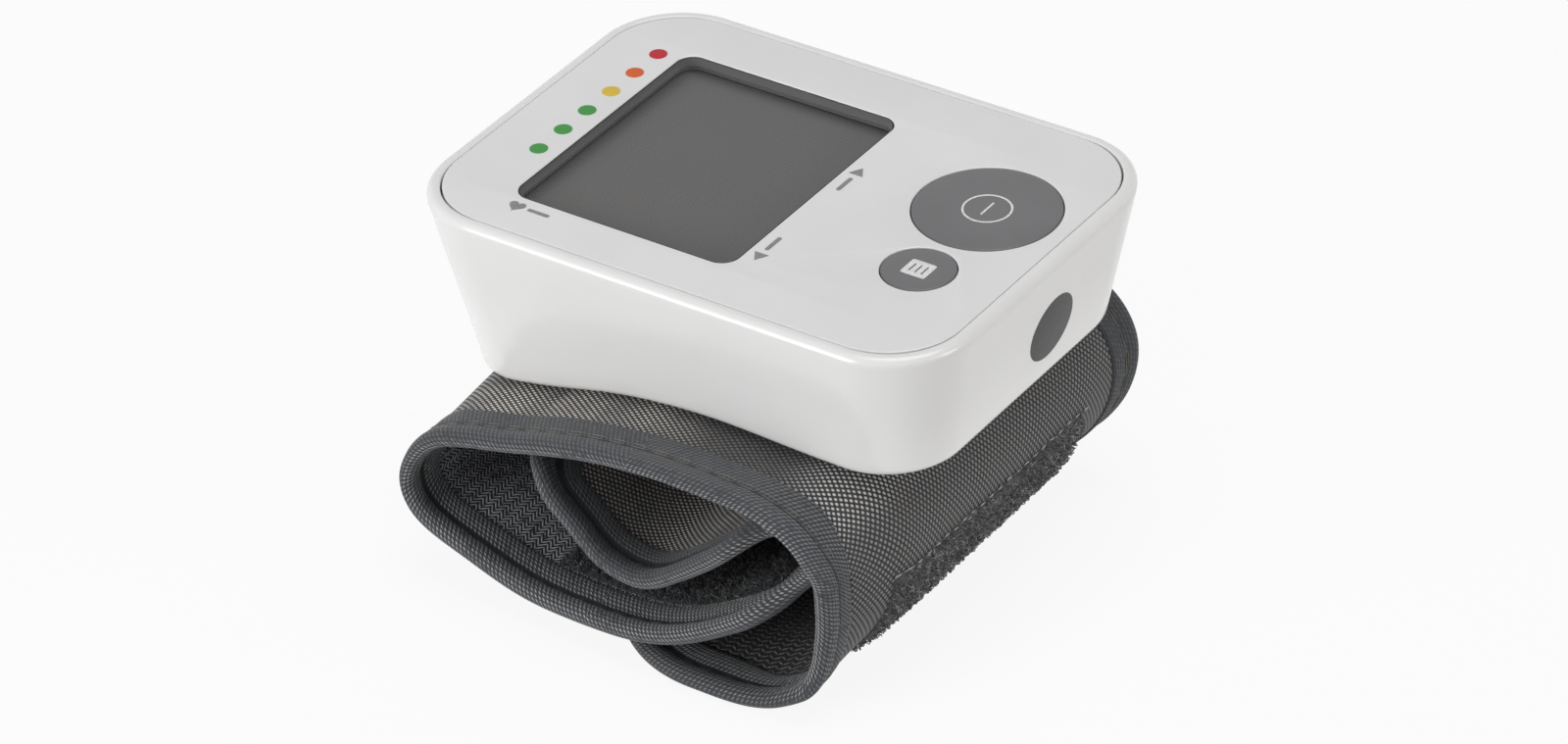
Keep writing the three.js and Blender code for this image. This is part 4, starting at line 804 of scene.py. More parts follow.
# folded hem tape: distance in from the edge, and height above the strip's middle, on its two faces
hemOutside = [(6.5, 0.9), (6.35, 1.06), (5.6, 1.12), (4.4, 1.12), (3.6, 1.09), (3.0, 1.04), (2.6, 1.02), (2.2, 1.08),
              (1.6, 1.22), (1.0, 1.29), (0.5, 1.27), (0.0, 1.1), (-0.35, 0.78), (-0.54, 0.42), (-0.6, 0.0)]
hemInside = [(6.5, 0.9), (6.35, 1.07), (5.7, 1.15), (4.9, 1.17), (4.3, 1.08), (3.7, 0.84), (3.2, 0.64), (2.7, 0.6),
             (2.3, 0.74), (1.9, 1.0), (1.4, 1.21), (0.8, 1.29), (0.3, 1.2), (-0.1, 1.0), (-0.4, 0.7), (-0.55, 0.36)]


# distance of each point from the first, along the points
def runLength(points):
    return np.concatenate([[0], np.cumsum(np.linalg.norm(np.diff(points, axis=0), axis=1))])


# both faces of the folded tape, from its outer edge round the fold to its inner edge
def tapeProfile(outside):
    return np.array(outside + [(d, -h) for d, h in hemInside[::-1]])


# places over the folded tape, in mm from its outer edge, of the outer groove, the fold and the inner groove
def tapePlaces(outside):
    girth = runLength(tapeProfile(outside))
    outer, fold, inner = 6, len(outside) - 1, len(girth) - 8
    return girth[outer], girth[fold], girth[inner]


# places and pitches in mm on the flat pattern; the list of changes says between which places along the strip the
# floats are painted brighter or duller, as painted light and shade: painted shade dims them on the right wall, under
# the unit and in the inner flap, a painted sheen highlight brightens them over the shoulder, and painted light
# brightens them round the left nose
wovenLook = {
    "rowPitch": 0.405, "floatPitch": 1.08, "floatLightAndShade": 0.33,
    "paintedLight": [(59, 64, 0.52), (67, 75, -0.65), (84, 100, 0.8), (198, 206, -0.25)],
}


# light floats in rows across the strip, every other row set off by half a step
def wovenFinish():
    finish = Finish("wovenNylon")
    u, v = finish.cloth()
    row = v / wovenLook["rowPitch"]
    along = (u / wovenLook["floatPitch"] + row.odd() * 0.5).within()
    across = row.within()
    grain = finish.cloud(900, 3)
    size = along * along * 13 + across * across * 3.4 + (grain - 0.5) * 0.8
    floatLightAndShade = wovenLook["floatLightAndShade"]
    for start, end, change in wovenLook["paintedLight"]:
        floatLightAndShade = floatLightAndShade + u.rise(start, end) * change
    dots = size.fall(0.26, 0.98) * floatLightAndShade
    ground = finish.mix(grain.rise(0.3, 0.7), shade(36, 36, 38), shade(60, 59, 59))
    warm = finish.mix(finish.cloud(110, 2).rise(0.35, 0.65), shade(186, 182, 178), shade(240, 233, 225))
    # floats a neutral white up to about 76 mm along, the colour of the painted sheen highlight there, and warm further
    # on
    light = finish.mix(u.rise(76, 90), shade(214, 213, 212), warm)
    return finish.surface(
        Base_Color=finish.mix(dots, ground, light), Roughness=0.8 - dots * 0.4,
        Sheen_Weight=0.1, Sheen_Roughness=0.4, Normal=finish.bump(dots + grain * 0.3, 0.00014, 0.8))


# pitches in mm; brighter and duller are places in mm along the short end's tape where its painted light and then its
# painted shade set in, and the last range is where a painted shade band runs along its back edge
tapeLook = {
    "rowPitch": 0.6, "dashPitch": 0.7, "slant": 0.8, "brighter": (8, 30), "duller": (48, 62), "backShadeRange": (166, 176),
}


# ribbed tape: rows of short slanted floats, smooth down in the sewn grooves, which are painted dark as painted shade
# shortEnd: 1 for the tape of the short end, which is painted brighter and then duller along its length, as painted
# light and shade, and has a painted shade band along the right wall's back
def tapeFinish(name, outside, outerWidth, shortEnd=0.0):
    finish = Finish(name)
    outerGroove, fold, innerGroove = tapePlaces(outside)
    u, v = finish.cloth()
    row = v / tapeLook["rowPitch"]
    across = row.within()
    along = (u / tapeLook["dashPitch"] + row.odd() * 0.5 + across * tapeLook["slant"]).within()
    grain = finish.cloud(1100, 3)
    thread = (grain + finish.cloud(160, 2) * 0.6).rise(0.45, 0.85)
    dashes = abs(along).fall(0.14, 0.3) * abs(across).fall(0.22, 0.44) * thread
    ribs = abs(across).fall(0.25, 0.5)
    face = v.fall(fold - 0.9, fold + 0.3)
    lining = v.rise(innerGroove, innerGroove + 0.6)
    inner = abs(v - innerGroove).fall(0.35, 0.85)
    outer = abs(v - outerGroove).fall(outerWidth * 0.35, outerWidth)
    # painted shade: a dark band along the tape's outer edge at the right wall's back
    backEdgeShade = v.fall(0.3, 0.8) * u.rise(*tapeLook["backShadeRange"]) * shortEnd
    # painted shade: the grooves and the band along the short end's back edge are darkened
    grooveShade = inner.most(outer).most(backEdgeShade)
    # painted light, then painted shade, along the short end's tape
    paintedLightAndShade = u.rise(*tapeLook["brighter"]) * 0.5 - u.rise(*tapeLook["duller"]) * 0.95
    floatShareAndShade = 0.84 - face * 0.38 + shortEnd * paintedLightAndShade
    ground = finish.mix(grain + face * 0.2, shade(36, 38, 41), shade(61, 63, 67))
    under = finish.mix(lining, shade(166, 167, 169), shade(178, 179, 180))
    cloth = finish.mix(dashes * floatShareAndShade, ground, finish.mix(face, under, shade(126, 129, 133)))
    relief = (dashes + ribs * 0.5) * (1 - grooveShade)
    return finish.surface(
        Base_Color=finish.mix(grooveShade * 0.9, cloth, shade(27, 29, 33)), Roughness=0.78 - dashes * 0.25,
        Sheen_Weight=0.2, Sheen_Roughness=0.35, Normal=finish.bump(relief, 0.00016, 0.8))


# columns of slanted loops across the strip, every other column the other way
def knitFinish(name, column, pitch, slope, fade, dark, light, width):
    finish = Finish(name)
    u, v = finish.cloth()
    grain = finish.cloud(1000, 3)
    place = u / column
    along = place.within()
    way = place.odd() * 2 - 1
    across = (v / pitch + along * way * slope).within()
    loops = abs(across).fall(width * 0.4, width) * (1 - abs(along).rise(fade, 0.5) * 0.8)
    ground = finish.mix(grain, tuple(c * 0.6 for c in dark), dark)
    return finish.surface(
        Base_Color=finish.mix(loops * grain.rise(0.2, 0.6), ground, light),
        Roughness=0.82 - loops * 0.2, Sheen_Weight=0.2, Sheen_Roughness=0.4,
        Normal=finish.bump(loops, 0.00022, 0.8))


def pileFinish(name, dark, light):
    finish = Finish(name)
    lot = finish.add("ShaderNodeNewGeometry", out="Random Per Island")
    grain = finish.cloud(700, 3)
    return finish.surface(
        Base_Color=finish.mix((lot ** 3.0) * 0.85 + grain * 0.15, dark, light), Roughness=0.6 + grain * 0.2,
        Sheen_Weight=0.3, Sheen_Roughness=0.4)


def threadFinish(name, dark, light):
    finish = Finish(name)
    x, y, z = finish.axes()
    twist = ((x + y + z) * 4200).part()
    fibre = finish.cloud(3000, 2)
    return finish.surface(
        Base_Color=finish.mix(fibre, dark, light),
        Roughness=0.7 + fibre * 0.15, Normal=finish.bump(twist, 0.00006, 0.6))


hemBoth = hemInside + [(-0.6, 0)]  # the inner end's tape is grooved on both faces
cloths = {
    "woven": wovenFinish(),
    "tape": tapeFinish("bindingTape", hemOutside, 0.3),
    "endTape": tapeFinish("endTape", hemOutside, 0.3, 1.0),
    "grooved": tapeFinish("groovedTape", hemBoth, 0.85),
    "knit": knitFinish("knitLining", 0.82, 0.78, 1.4, 0.38, shade(28, 29, 33), shade(230, 233, 238), 0.3),
    "net": knitFinish("netLining", 1.0, 0.95, 0.6, 0.2, shade(18, 18, 20), shade(140, 140, 140), 0.2),
    "loop": pileFinish("loopPile", shade(48, 48, 50), shade(184, 184, 183)),
    "hook": pileFinish("hookPile", shade(28, 29, 31), shade(100, 102, 106)),
    "thread": threadFinish("sewingThread", shade(84, 81, 74), shade(140, 135, 123)),
    "underThread": threadFinish("underThread", shade(26, 27, 30), shade(52, 54, 58)),
    "edgeThread": threadFinish("edgeThread", shade(150, 150, 150), shade(206, 206, 206)),
}
print("cloth finishes")


cuff = {
    **inMm(width=70, half=1.4, shortRadius=20, longRadius=8, tapeThickness=0.38, skinInset=4.6, skinHeight=0.86,
           skinThickness=0.42, seatGap=0.3, front=-33.4, rightSplit=64.59, leftSplit=120.58, spare=1.2, skewStart=20,
           skewEnd=193.4, skew=3.2, cellAlong=1.0, lowRange=(150, 200), lowX=-5,
           # depth, and where along the strip it sets in, is full, fades and ends
           curl=4.0, curlRange=(36, 54, 60, 76), flare=1.5, flareRange=(20, 33, 36, 46), curlReach=15,
           swell=1.4, swellRange=(112, 128, 138, 152), swellReach=(4, 34),
           foldRecess=4.5, foldRange=(197, 207, 219, 227), tipRecess=0.6, tipRange=(250, 257)),
    "cellsAcross": 66,
}
# the cuff's course in mm, as x and z: from the short end on the floor, up the right, under the unit, round the
# left nose, back along the lower run, up the inside right and down into the inner flap
course = {
    "floorRun": (-8, 12), "rightTurn": ((12, 20), (23.4, 18.6)), "shoulder": ((24, 20), (11.4, 9.9)),
    "topRun": (24, -25.5), "leftX": -35.8,
    "nose": [(5.2, 22.8), (1.9, 19.6), (0, 15), (0.9, 11.6), (3.4, 9.4)],
    "lowerRun": [(9, 7.4), (20, 4.6), (31, 4.5), (40, 5.6), (48, 8.8)],
    "insideRise": [(22.7, 15.6), (26.1, 19.2)], "innerFold": (26.1, 23.5, 3), "innerFoldAngles": (-50, -5, 40, 85),
    "innerFlap": [(22.2, 26.4), (18.4, 24.1), (14.2, 20.4), (9.2, 16.4), (4.7, 13.3), (0.7, 12.3),
                  (-4.6, 13.6), (-10.6, 17.9), (-15.2, 22.1), (-18.6, 22.9)],
    "step": 0.2 * mm, "easeReach": 12, "easeWidth": 5,
}


def arc(centre, radii, start, end, steps):
    angles = np.radians(np.linspace(start, end, steps))
    return np.column_stack([centre[0] + radii[0] * np.cos(angles), centre[1] + radii[1] * np.sin(angles)])


def layCourse():
    c = course
    spare, half = cuff["spare"] / mm, cuff["half"] / mm  # the hem stands a little past both ends
    floorRun = np.column_stack([np.linspace(c["floorRun"][0] - spare, c["floorRun"][1], 80), np.full(80, half)])
    rightTurn = arc(*c["rightTurn"], -90, 0, 120)
    shoulder = arc(*c["shoulder"], 0, 90, 80)
    top = shot["topCentre"][2] / mm - cuff["seatGap"] / mm - half
    points = [(x, top + undersideAt(x * mm) / mm) for x in np.linspace(*c["topRun"], 9)]
    points += [(c["leftX"] + dx, z) for dx, z in c["nose"] + c["lowerRun"]] + c["insideRise"]
    foldX, foldZ, radius = c["innerFold"]
    for angle in np.radians(c["innerFoldAngles"]):
        points.append((foldX + radius * math.cos(angle), foldZ + radius * math.sin(angle)))
    rest = throughPoints(points + c["innerFlap"], 40)
    tip = rest[-1] + spare * (rest[-1] - rest[-2]) / np.linalg.norm(rest[-1] - rest[-2])
    line = np.concatenate([floorRun, rightTurn[1:], shoulder[1:], rest[1:], [tip]]) * mm
    lengths = runLength(line)
    even = np.arange(0, lengths[-1], c["step"])
    smooth = np.column_stack([np.interp(even, lengths, line[:, k]) for k in range(2)])
    # a little easing takes out the joins between the spans
    reach = c["easeReach"]
    weights = np.exp(-0.5 * (np.arange(-reach, reach + 1) / c["easeWidth"]) ** 2)
    weights /= weights.sum()
    for k in range(2):
        first, last = smooth[1, k] - smooth[0, k], smooth[-1, k] - smooth[-2, k]
        padded = np.concatenate([smooth[0, k] + first * np.arange(-reach, 0), smooth[:, k],
                                 smooth[-1, k] + last * np.arange(1, reach + 1)])
        smooth[:, k] = np.convolve(padded, weights, "valid")
    along = np.gradient(smooth, axis=0)
    along /= np.linalg.norm(along, axis=1)[:, None]
    return even - cuff["spare"], smooth, np.column_stack([along[:, 1], -along[:, 0]])


courseS, coursePlace, courseOut = layCourse()
total = courseS[-1] - cuff["spare"]
topSplit = (cuff["rightSplit"] + cuff["leftSplit"]) / 2
# where the lower run passes under the unit
lowBand = (courseS > cuff["lowRange"][0]) & (courseS < cuff["lowRange"][1])
lowSplit = float(courseS[lowBand][np.argmin(abs(coursePlace[lowBand, 0] - cuff["lowX"]))])


# 1 between the two middle places of four, 0 outside the outer two
def between(s, places):
    a, b, c, d = places
    return smoothStep(s, a, b) * (1 - smoothStep(s, c, d))


def frontEdge(s):
    c = cuff
    shortSkew = 1 - smoothStep(s, c["skewStart"], c["rightSplit"])
    longSkew = smoothStep(s, c["leftSplit"], c["skewEnd"]) - smoothStep(s, c["skewEnd"], total)
    return c["front"] - c["skew"] * (shortSkew + longSkew)


# the front edge keeps back in the inner fold and at the tip of the inner flap
def frontRecess(s, y):
    c = cuff
    depth = c["foldRecess"] * between(s, c["foldRange"]) + c["tipRecess"] * smoothStep(s, *c["tipRange"])
    return depth * (1 - np.clip(y / c["width"], 0, 1))


# the front edge of the right wall curls in over the fold, and flares out below it
def frontCurl(s, y):
    c = cuff
    lift = c["flare"] * between(s, c["flareRange"]) - c["curl"] * between(s, c["curlRange"])
    return lift * (1 - smoothStep(y, 0, c["curlReach"]))


# the left nose stands further out behind its front edge
def noseSwell(s, y):
    return cuff["swell"] * between(s, cuff["swellRange"]) * smoothStep(y, *cuff["swellReach"])


# flat pattern to space: s along the strip, y across it from the front edge, h out of its middle
def rolled(s, y, h):
    s, y, h = np.broadcast_arrays(np.asarray(s, float), np.asarray(y, float), np.asarray(h, float))
    h = h + frontCurl(s, y) + noseSwell(s, y)
    x = np.interp(s, courseS, coursePlace[:, 0]) + h * np.interp(s, courseS, courseOut[:, 0])
    z = np.interp(s, courseS, coursePlace[:, 1]) + h * np.interp(s, courseS, courseOut[:, 1])
    return np.stack([x, frontEdge(s) + frontRecess(s, y) + y, z], axis=-1)


# how far each edge is drawn in where the end is rounded
def drawnIn(s, inset):
    radius = np.where(s < total / 2, cuff["shortRadius"], cuff["longRadius"]) - inset
    fromEnd = np.minimum(s, total - s) - inset
    depth = np.clip(radius - fromEnd, 0, radius)
    return radius - np.sqrt(radius ** 2 - depth ** 2)


ripple = {
    **inMm(slack=0.28, crease=0.12, puff=0.16,
           # place along, place across, reach along, reach across, depth
           dents=[(112, 8.5, 0.9, 6, 0.5), (76.5, 8.5, 4.0, 5, 0.7)]),
    "liningShift": 1.0, "liningShare": 0.8, "loose": (0.07, 0.2, 0.8, 0.93),
}


def skinLift(s, y):
    share = np.clip(y / cuff["width"], 0, 1)
    lift = np.empty(s.shape)
    for index in np.ndindex(s.shape):
        a, b = s[index] / mm, y[index] / mm
        lift[index] = (ripple["slack"] * wobble(a * 0.055, b * 0.04, 1.3)
                       + ripple["crease"] * wobble(a * 0.19 + b * 0.06, b * 0.07, 7.7))
    for place, across, reachS, reachY, depth in ripple["dents"]:
        lift -= depth * np.exp(-((s - place) / reachS) ** 2 - ((y - across) / reachY) ** 2)
    return (lift + ripple["puff"]) * between(share, ripple["loose"])


# closed thin cloth between two rows-and-columns grids, with the flat pattern as its map
def clothBetween(name, outer, inner, s, y, material, flip):
    rows, columns = s.shape
    count = rows * columns
    faces = []
    for face in gridFaces(rows, columns):
        faces += [face, tuple(count + a for a in face[:1] + face[:0:-1])]
    border = [(0, c) for c in range(columns)] + [(r, columns - 1) for r in range(1, rows)]
    border += [(rows - 1, c) for c in range(columns - 2, -1, -1)] + [(r, 0) for r in range(rows - 2, 0, -1)]
    ids = [r * columns + c for r, c in border]
    for a, b in zip(ids, ids[1:] + ids[:1]):
        faces.append((b, a, count + a, count + b))
    if flip:
        faces = [face[::-1] for face in faces]
    points = np.concatenate([outer.reshape(-1, 3), inner.reshape(-1, 3)])
    flat = np.concatenate([np.column_stack([s.ravel(), y.ravel()])] * 2)
    return addPiece(name, meshFrom(name, points, faces, 60, flat, False), material)


def stripGrid(start, end, inset):
    rows = max(int(round((end - start) / cuff["cellAlong"])), 4)
    low, high = max(start, inset), min(end, total - inset)
    along = np.linspace(low, high, rows + 1)
    draw = drawnIn(along, inset)
    share = np.linspace(0, 1, cuff["cellsAcross"] + 1)
    front = inset + draw
    y = front[:, None] + share[None, :] * (cuff["width"] - 2 * front)[:, None]
    return np.repeat(along[:, None], len(share), 1), y


def makePly(name, start, end, side, material):
    s, y = stripGrid(start, end, cuff["skinInset"])
    lift = skinLift(s, y) if side > 0 else skinLift(s + ripple["liningShift"], y) * ripple["liningShare"]
    outer = rolled(s, y, side * (cuff["skinHeight"] + lift))
    inner = rolled(s, y, side * (cuff["skinHeight"] + lift - cuff["skinThickness"]))
    widths = y[:, -1] - y[:, 0]
    area = float(np.sum((widths[1:] + widths[:-1]) / 2 * np.diff(s[:, 0])))
    cut = {"flat": (float(widths.max()), float(s[-1, 0] - s[0, 0])), "area": area}
    return clothBetween(name, outer, inner, s, y, material, side < 0), cut


hem = {
    **inMm(grooveIn=2.75, grooveReach=1.1, highest=1.4, wander=0.22, pucker=0.05, narrow=2.0,
           narrowRange=(22, 34, 54, 68), faceRows=[(2.7, 1.05), (3.3, 1.09)], underRow=(2.75, -0.64),
           rowWander=0.12, step=0.7, shiftStart=2, shiftReach=4),
    "unevenness": 0.07, "stitch": inMm(Pitch=3.4, Length=2.9, Girth=0.16),
}


# edge of the flat pattern as (s, y, inward s, inward y), from one place on the front edge to one on the back
def edgePath(start, end, side):
    radius, width = cuff["longRadius" if side == "longEnd" else "shortRadius"], cuff["width"]
    step = hem["step"]
    if side in ("front", "back"):
        y, inward = (0, 1) if side == "front" else (width, -1)
        return np.array([(s, y, 0, inward) for s in np.linspace(start, end, int((end - start) / step))])
    tip, sign, far = (0, 1, end) if side == "shortEnd" else (total, -1, start)
    bend = tip + sign * radius
    straight = np.linspace(far, bend, int(abs(far - bend) / step))
    turns = [(math.sin(a), math.cos(a)) for a in np.linspace(0, math.pi / 2, int(radius * 1.57 / step))]
    middle = np.linspace(radius, width - radius, int((width - 2 * radius) / step))[1:-1]
    path = [(s, 0, 0, 1) for s in straight[:-1]]
    path += [(bend - sign * radius * sin, radius - radius * cos, sign * sin, cos) for sin, cos in turns]
    path += [(tip, y, sign, 0) for y in middle]
    path += [(bend - sign * radius * cos, width - radius + radius * sin, sign * cos, -sin) for sin, cos in turns]
    path += [(s, width, 0, -1) for s in straight[::-1][1:]]
    return np.array(path)


def makeHem(name, path, outside, material):
    profile = tapeProfile(outside) * mm
    lean = np.gradient(profile, axis=0)
    lean /= np.linalg.norm(lean, axis=1)[:, None]
    inside = profile + cuff["tapeThickness"] * np.column_stack([-lean[:, 1], lean[:, 0]])
    girth = runLength(profile)
    count = len(profile)
    points = []
    flat = []
    for (s, y, inS, inY), t in zip(path, runLength(path[:, :2])):
        a = t / mm
        full = 1 + hem["unevenness"] * wobble(a * 0.11, s * 30, 3.1)
        shift = hem["wander"] * wobble(a * 0.07, s * 20, 9.4)
        pull = hem["pucker"] * math.cos(2 * math.pi * t / hem["stitch"]["Pitch"])
        if y == 0:  # the tape is turned further under at the front of the right wall
            shift -= hem["narrow"] * float(between(s, hem["narrowRange"]))
        for d, h in (profile.T, inside.T[:, ::-1]):
            near = np.exp(-((d - hem["grooveIn"]) / hem["grooveReach"]) ** 2)
            deep = d + shift * np.clip((d - hem["shiftStart"]) / hem["shiftReach"], 0, 1)
            rise = np.sign(h) * (np.minimum(abs(h) * full, hem["highest"]) + pull * near)
            points.append(rolled(s + inS * deep, y + inY * deep, rise))
        flat.append(np.column_stack([np.full(2 * count, t), np.concatenate([girth, girth[::-1]])]))
    ring = 2 * count
    faces = ringFaces(len(path), ring)
    for first in (0, (len(path) - 1) * ring):
        last = first + ring - 1
        faces += [(first + j, first + j + 1, last - j - 1, last - j) for j in range(count - 1)]
    mesh = meshFrom(name, np.concatenate(points), faces, 70, np.concatenate(flat))
    return addPiece(name, mesh, material)


# kinds: what each input beside the geometry holds
def newTree(name, **kinds):
    tree = bpy.data.node_groups.new(name, "GeometryNodeTree")
    for label, kind in {"Geometry": "Geometry", **kinds}.items():
        tree.interface.new_socket(label, in_out="INPUT", socket_type="NodeSocket" + kind)
    tree.interface.new_socket("Geometry", in_out="OUTPUT", socket_type="NodeSocketGeometry")
    work = Nodes(tree)
    start = tree.nodes.new("NodeGroupInput")
    return work, {socket.name: Value(work, socket) for socket in start.outputs if socket.name}


def endTree(work, instances, material):
    solid = work.add("GeometryNodeRealizeInstances", {}, {0: instances})
    dressed = work.add("GeometryNodeSetMaterial", {}, {"Geometry": solid, "Material": material})
    end = work.tree.nodes.new("NodeGroupOutput")
    work.tree.links.new(dressed.socket, end.inputs[0])
    return work.tree


def growFrom(name, mesh, tree, values):
    carrier = addPiece(name + "Carrier", mesh)
    modifier = carrier.modifiers.new("grow", "NODES")
    modifier.node_group = tree
    for item in tree.interface.items_tree:
        if item.in_out == "INPUT" and item.name in values:
            modifier[item.identifier] = values[item.name]
    grown = evaluated(carrier)
    bpy.data.objects.remove(carrier)
    grown.name = name
    for face in grown.polygons:
        face.use_smooth = True
    return addPiece(name, grown)


def stitchTree():
    work, given = newTree("stitchesAlongLine", Pitch="Float", Length="Float", Girth="Float", Thread="Material")
    line = work.add("GeometryNodeMeshToCurve", {}, {"Mesh": given["Geometry"]})
    spots = work.add("GeometryNodeCurveToPoints", {"mode": "LENGTH"}, {"Curve": line, "Length": given["Pitch"]})
    turn = work.add("FunctionNodeAlignRotationToVector", {"axis": "X"}, {"Vector": spots.twin("Tangent")})
    size = work.vector(given["Length"], given["Girth"], given["Girth"])
    bead = work.add("GeometryNodeMeshUVSphere", {}, {"Segments": 6, "Rings": 4, "Radius": 0.5})
    thread = work.add("GeometryNodeTransform", {}, {"Geometry": bead, "Scale": size})
    row = work.add("GeometryNodeInstanceOnPoints", {}, {"Points": spots, "Instance": thread, "Rotation": turn})
    return endTree(work, row, given["Thread"])


def pileTree():
    work, given = newTree("pileOnCloth", Density="Float", Height="Float", Spread="Float", Thickness="Float",
                          Seed="Int", Pile="Material")
    seed, spread, height = given["Seed"], given["Spread"], given["Height"]
    spots = work.add("GeometryNodeDistributePointsOnFaces", {},
                     {"Mesh": given["Geometry"], "Density": given["Density"], "Seed": seed})
    lean = work.add("FunctionNodeRandomValue", {"data_type": "FLOAT_VECTOR"},
                    {0: (-0.6, -0.6, 0.0), 1: (0.6, 0.6, 6.283), "Seed": seed})
    turn = work.add("FunctionNodeRotateRotation", {"rotation_space": "LOCAL"}, {0: spots.twin("Rotation"), 1: lean})
    size = work.add("FunctionNodeRandomValue", {"data_type": "FLOAT"}, {2: 0.55, 3: 1.35, "Seed": seed}, 1)
    top = work.vector(spread, 0.0, height)
    tip = work.vector(spread * 2, spread * 0.4, height * 0.25)
    loop = work.add("GeometryNodeCurveQuadraticBezier", {},
                    {"Resolution": 4, "Start": (0, 0, 0), "Middle": top, "End": tip})
    girth = work.add("GeometryNodeCurvePrimitiveCircle", {}, {"Resolution": 3, "Radius": given["Thickness"]})
    hair = work.add("GeometryNodeCurveToMesh", {}, {"Curve": loop, "Profile Curve": girth})
    field = work.add("GeometryNodeInstanceOnPoints", {},
                     {"Points": spots, "Instance": hair, "Rotation": turn, "Scale": size})
    return endTree(work, field, given["Pile"])


trees = {"stitch": stitchTree(), "pile": pileTree()}


# stitches along lines of points
def sew(name, rows, stitch, thread):
    points = np.concatenate(rows)
    starts = set(np.cumsum([len(row) for row in rows]).tolist())
    links = [(k - 1, k) for k in range(1, len(points)) if k not in starts]
    line = bareMesh(name + "Line", points, [], links)
    return growFrom(name, line, trees["stitch"], {**stitch, "Thread": cloths[thread]})


def makeStitches(name, paths, places, thread):
    rows = []
    for path in paths:
        for depth, height in places:
            drift = [hem["rowWander"] * wobble(k * 0.05, depth * 900, height * 700) for k in range(len(path))]
            deep = depth + np.array(drift)
            rows.append(rolled(path[:, 0] + path[:, 2] * deep, path[:, 1] + path[:, 3] * deep, height))
    return sew(name, rows, hem["stitch"], thread)


# the strip's three lengths; blend says where a length would pass from the unit's motion to its tail's, but it is not
# used
lengths = [
    {"name": "short", "start": 0.0, "end": topSplit, "edges": ["shortEnd"], "lining": "net", "binding": "endTape",
     "body": "short_tail", "blend": ((0, 0, 29.0 * mm), (0, 0, 24.0 * mm)), "lies": "rear_cover",
     "skin": ["short_tail_skin", "cuff_top_skin"],
     "tape": ["short_tail_binding", "cuff_top_binding_front", "cuff_top_binding_back"],
     "under": ["short_tail_lining", "cuff_top_lining", "short_tail_sheet", "air_bladder"]},
    {"name": "long", "start": topSplit, "end": lowSplit, "edges": ["front", "back"], "lining": "knit",
     "binding": "tape", "body": "long_tail", "lies": "rear_cover",
     "blend": ((-26 * mm, 0, 25.06 * mm), (-28.76 * mm, 0, 20.9 * mm)),
     "skin": ["long_tail_skin"], "tape": ["long_tail_binding"], "under": ["long_tail_lining", "long_tail_sheet"]},
    {"name": "inner", "start": lowSplit, "end": total, "edges": ["longEnd"], "lining": "knit", "binding": "grooved",
     "body": "long_tail", "blend": None, "lies": "longSkin"},
]


def makeCuff():
    for part in lengths:
        name, start, end = part["name"], part["start"], part["end"]
        skin, cut = makePly(name + "Skin", start, end, 1, cloths["woven"])
        lining, liningCut = makePly(name + "Lining", start, end, -1, cloths[part["lining"]])
        paths = [edgePath(start, end, edge) for edge in part["edges"]]
        plain = name != "inner"
        hems = [makeHem(f"{name}Hem{k + 1}", path, hemOutside if plain else hemBoth, cloths[part["binding"]])
                for k, path in enumerate(paths)]
        depth, height = hem["underRow"]
        underRows = [hem["underRow"]] if plain else [hem["underRow"], (depth, -height)]
        stitches = [makeStitches(name + "UnderStitches", paths, underRows, "underThread")]
        if plain:
            stitches.append(makeStitches(name + "Stitches", paths, hem["faceRows"], "thread"))
        for piece in [skin, lining, *hems, *stitches]:
            if part["blend"]:
                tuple(part["blend"][0])
                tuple(part["blend"][1])
                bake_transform(piece)
            else:
                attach(piece, part["body"])
        if plain:
            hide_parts(*part["skin"])
            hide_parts(*part["under"])
            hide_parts(*part["tape"])
        print("cuff", name)


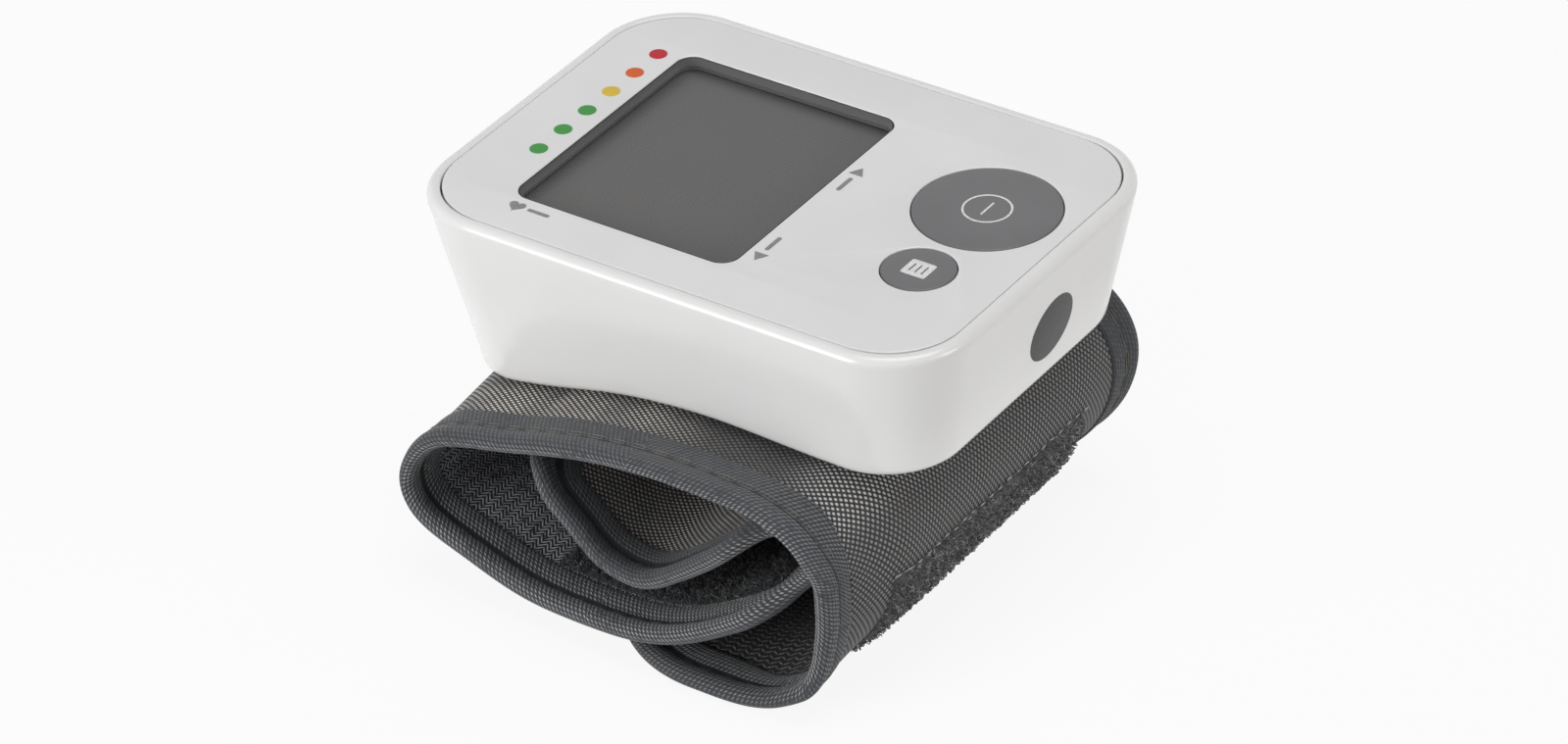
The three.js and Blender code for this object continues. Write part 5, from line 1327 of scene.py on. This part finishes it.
patchPoints = (40, 80)  # along and across
patches = {
    "loop": {"node": "loop_patch", "body": "short_tail", "side": 1, "lies": "shortSkin",
             **inMm(start=34, length=18, frontInset=11, backInset=14, low=0.9, high=1.5, rounding=(-0.4, 1.2),
                    edgeOut=0.3, edgeWander=0.3, edgeLift=0.55),
             "pile": {"Density": 5.0e6, "Seed": 4, **inMm(Height=0.95, Spread=0.28, Thickness=0.065)},
             "edgeStitch": inMm(Pitch=2.1, Length=1.3, Girth=0.22)},
    "hook": {"node": "hook_patch", "body": "long_tail", "side": -1, "lies": "longLining",
             **inMm(start=160.08, length=39.5, frontInset=7, backInset=7, low=0.9, high=1.5, rounding=(-0.4, 1.2)),
             "pile": {"Density": 4.0e6, "Seed": 9, **inMm(Height=1.3, Spread=0.3, Thickness=0.07)},
             "edgeStitch": None},
}


def makePatches():
    for name, p in patches.items():
        side = p["side"]
        along = np.linspace(p["start"], p["start"] + p["length"], patchPoints[0])
        across = np.linspace(p["frontInset"], cuff["width"] - p["backInset"], patchPoints[1])
        s, y = np.meshgrid(along, across, indexing="ij")
        # rounded edges of the patch
        edge = np.minimum.reduce([s - along[0], along[-1] - s, y - across[0], across[-1] - y])
        height = p["low"] + (p["high"] - p["low"]) * smoothStep(edge, *p["rounding"])
        top = rolled(s, y, side * height)
        pad = clothBetween(name + "Pad", top, rolled(s, y, side * p["low"]), s, y, cloths[name], side < 0)
        dress(pad, p["body"], "pile", p["node"])
        faces = gridFaces(*s.shape)
        if side < 0:
            faces = [face[::-1] for face in faces]
        field = bareMesh(name + "Field", top.reshape(-1, 3), faces)
        grown = [growFrom(name + "Pile", field, trees["pile"], {**p["pile"], "Pile": cloths[name]})]
        if p["edgeStitch"]:
            drift = [p["edgeOut"] + p["edgeWander"] * wobble(k * 0.3, 4.4) for k in range(len(across))]
            row = rolled(along[-1] + np.array(drift), across, side * (p["low"] + p["edgeLift"]))
            grown.append(sew(name + "EdgeStitches", [row], p["edgeStitch"], "edgeThread"))
        for piece in grown:
            dress(piece, p["body"], "pile")
        print("patch", name, len(grown[0].data.polygons))


makeCuff()
makePatches()
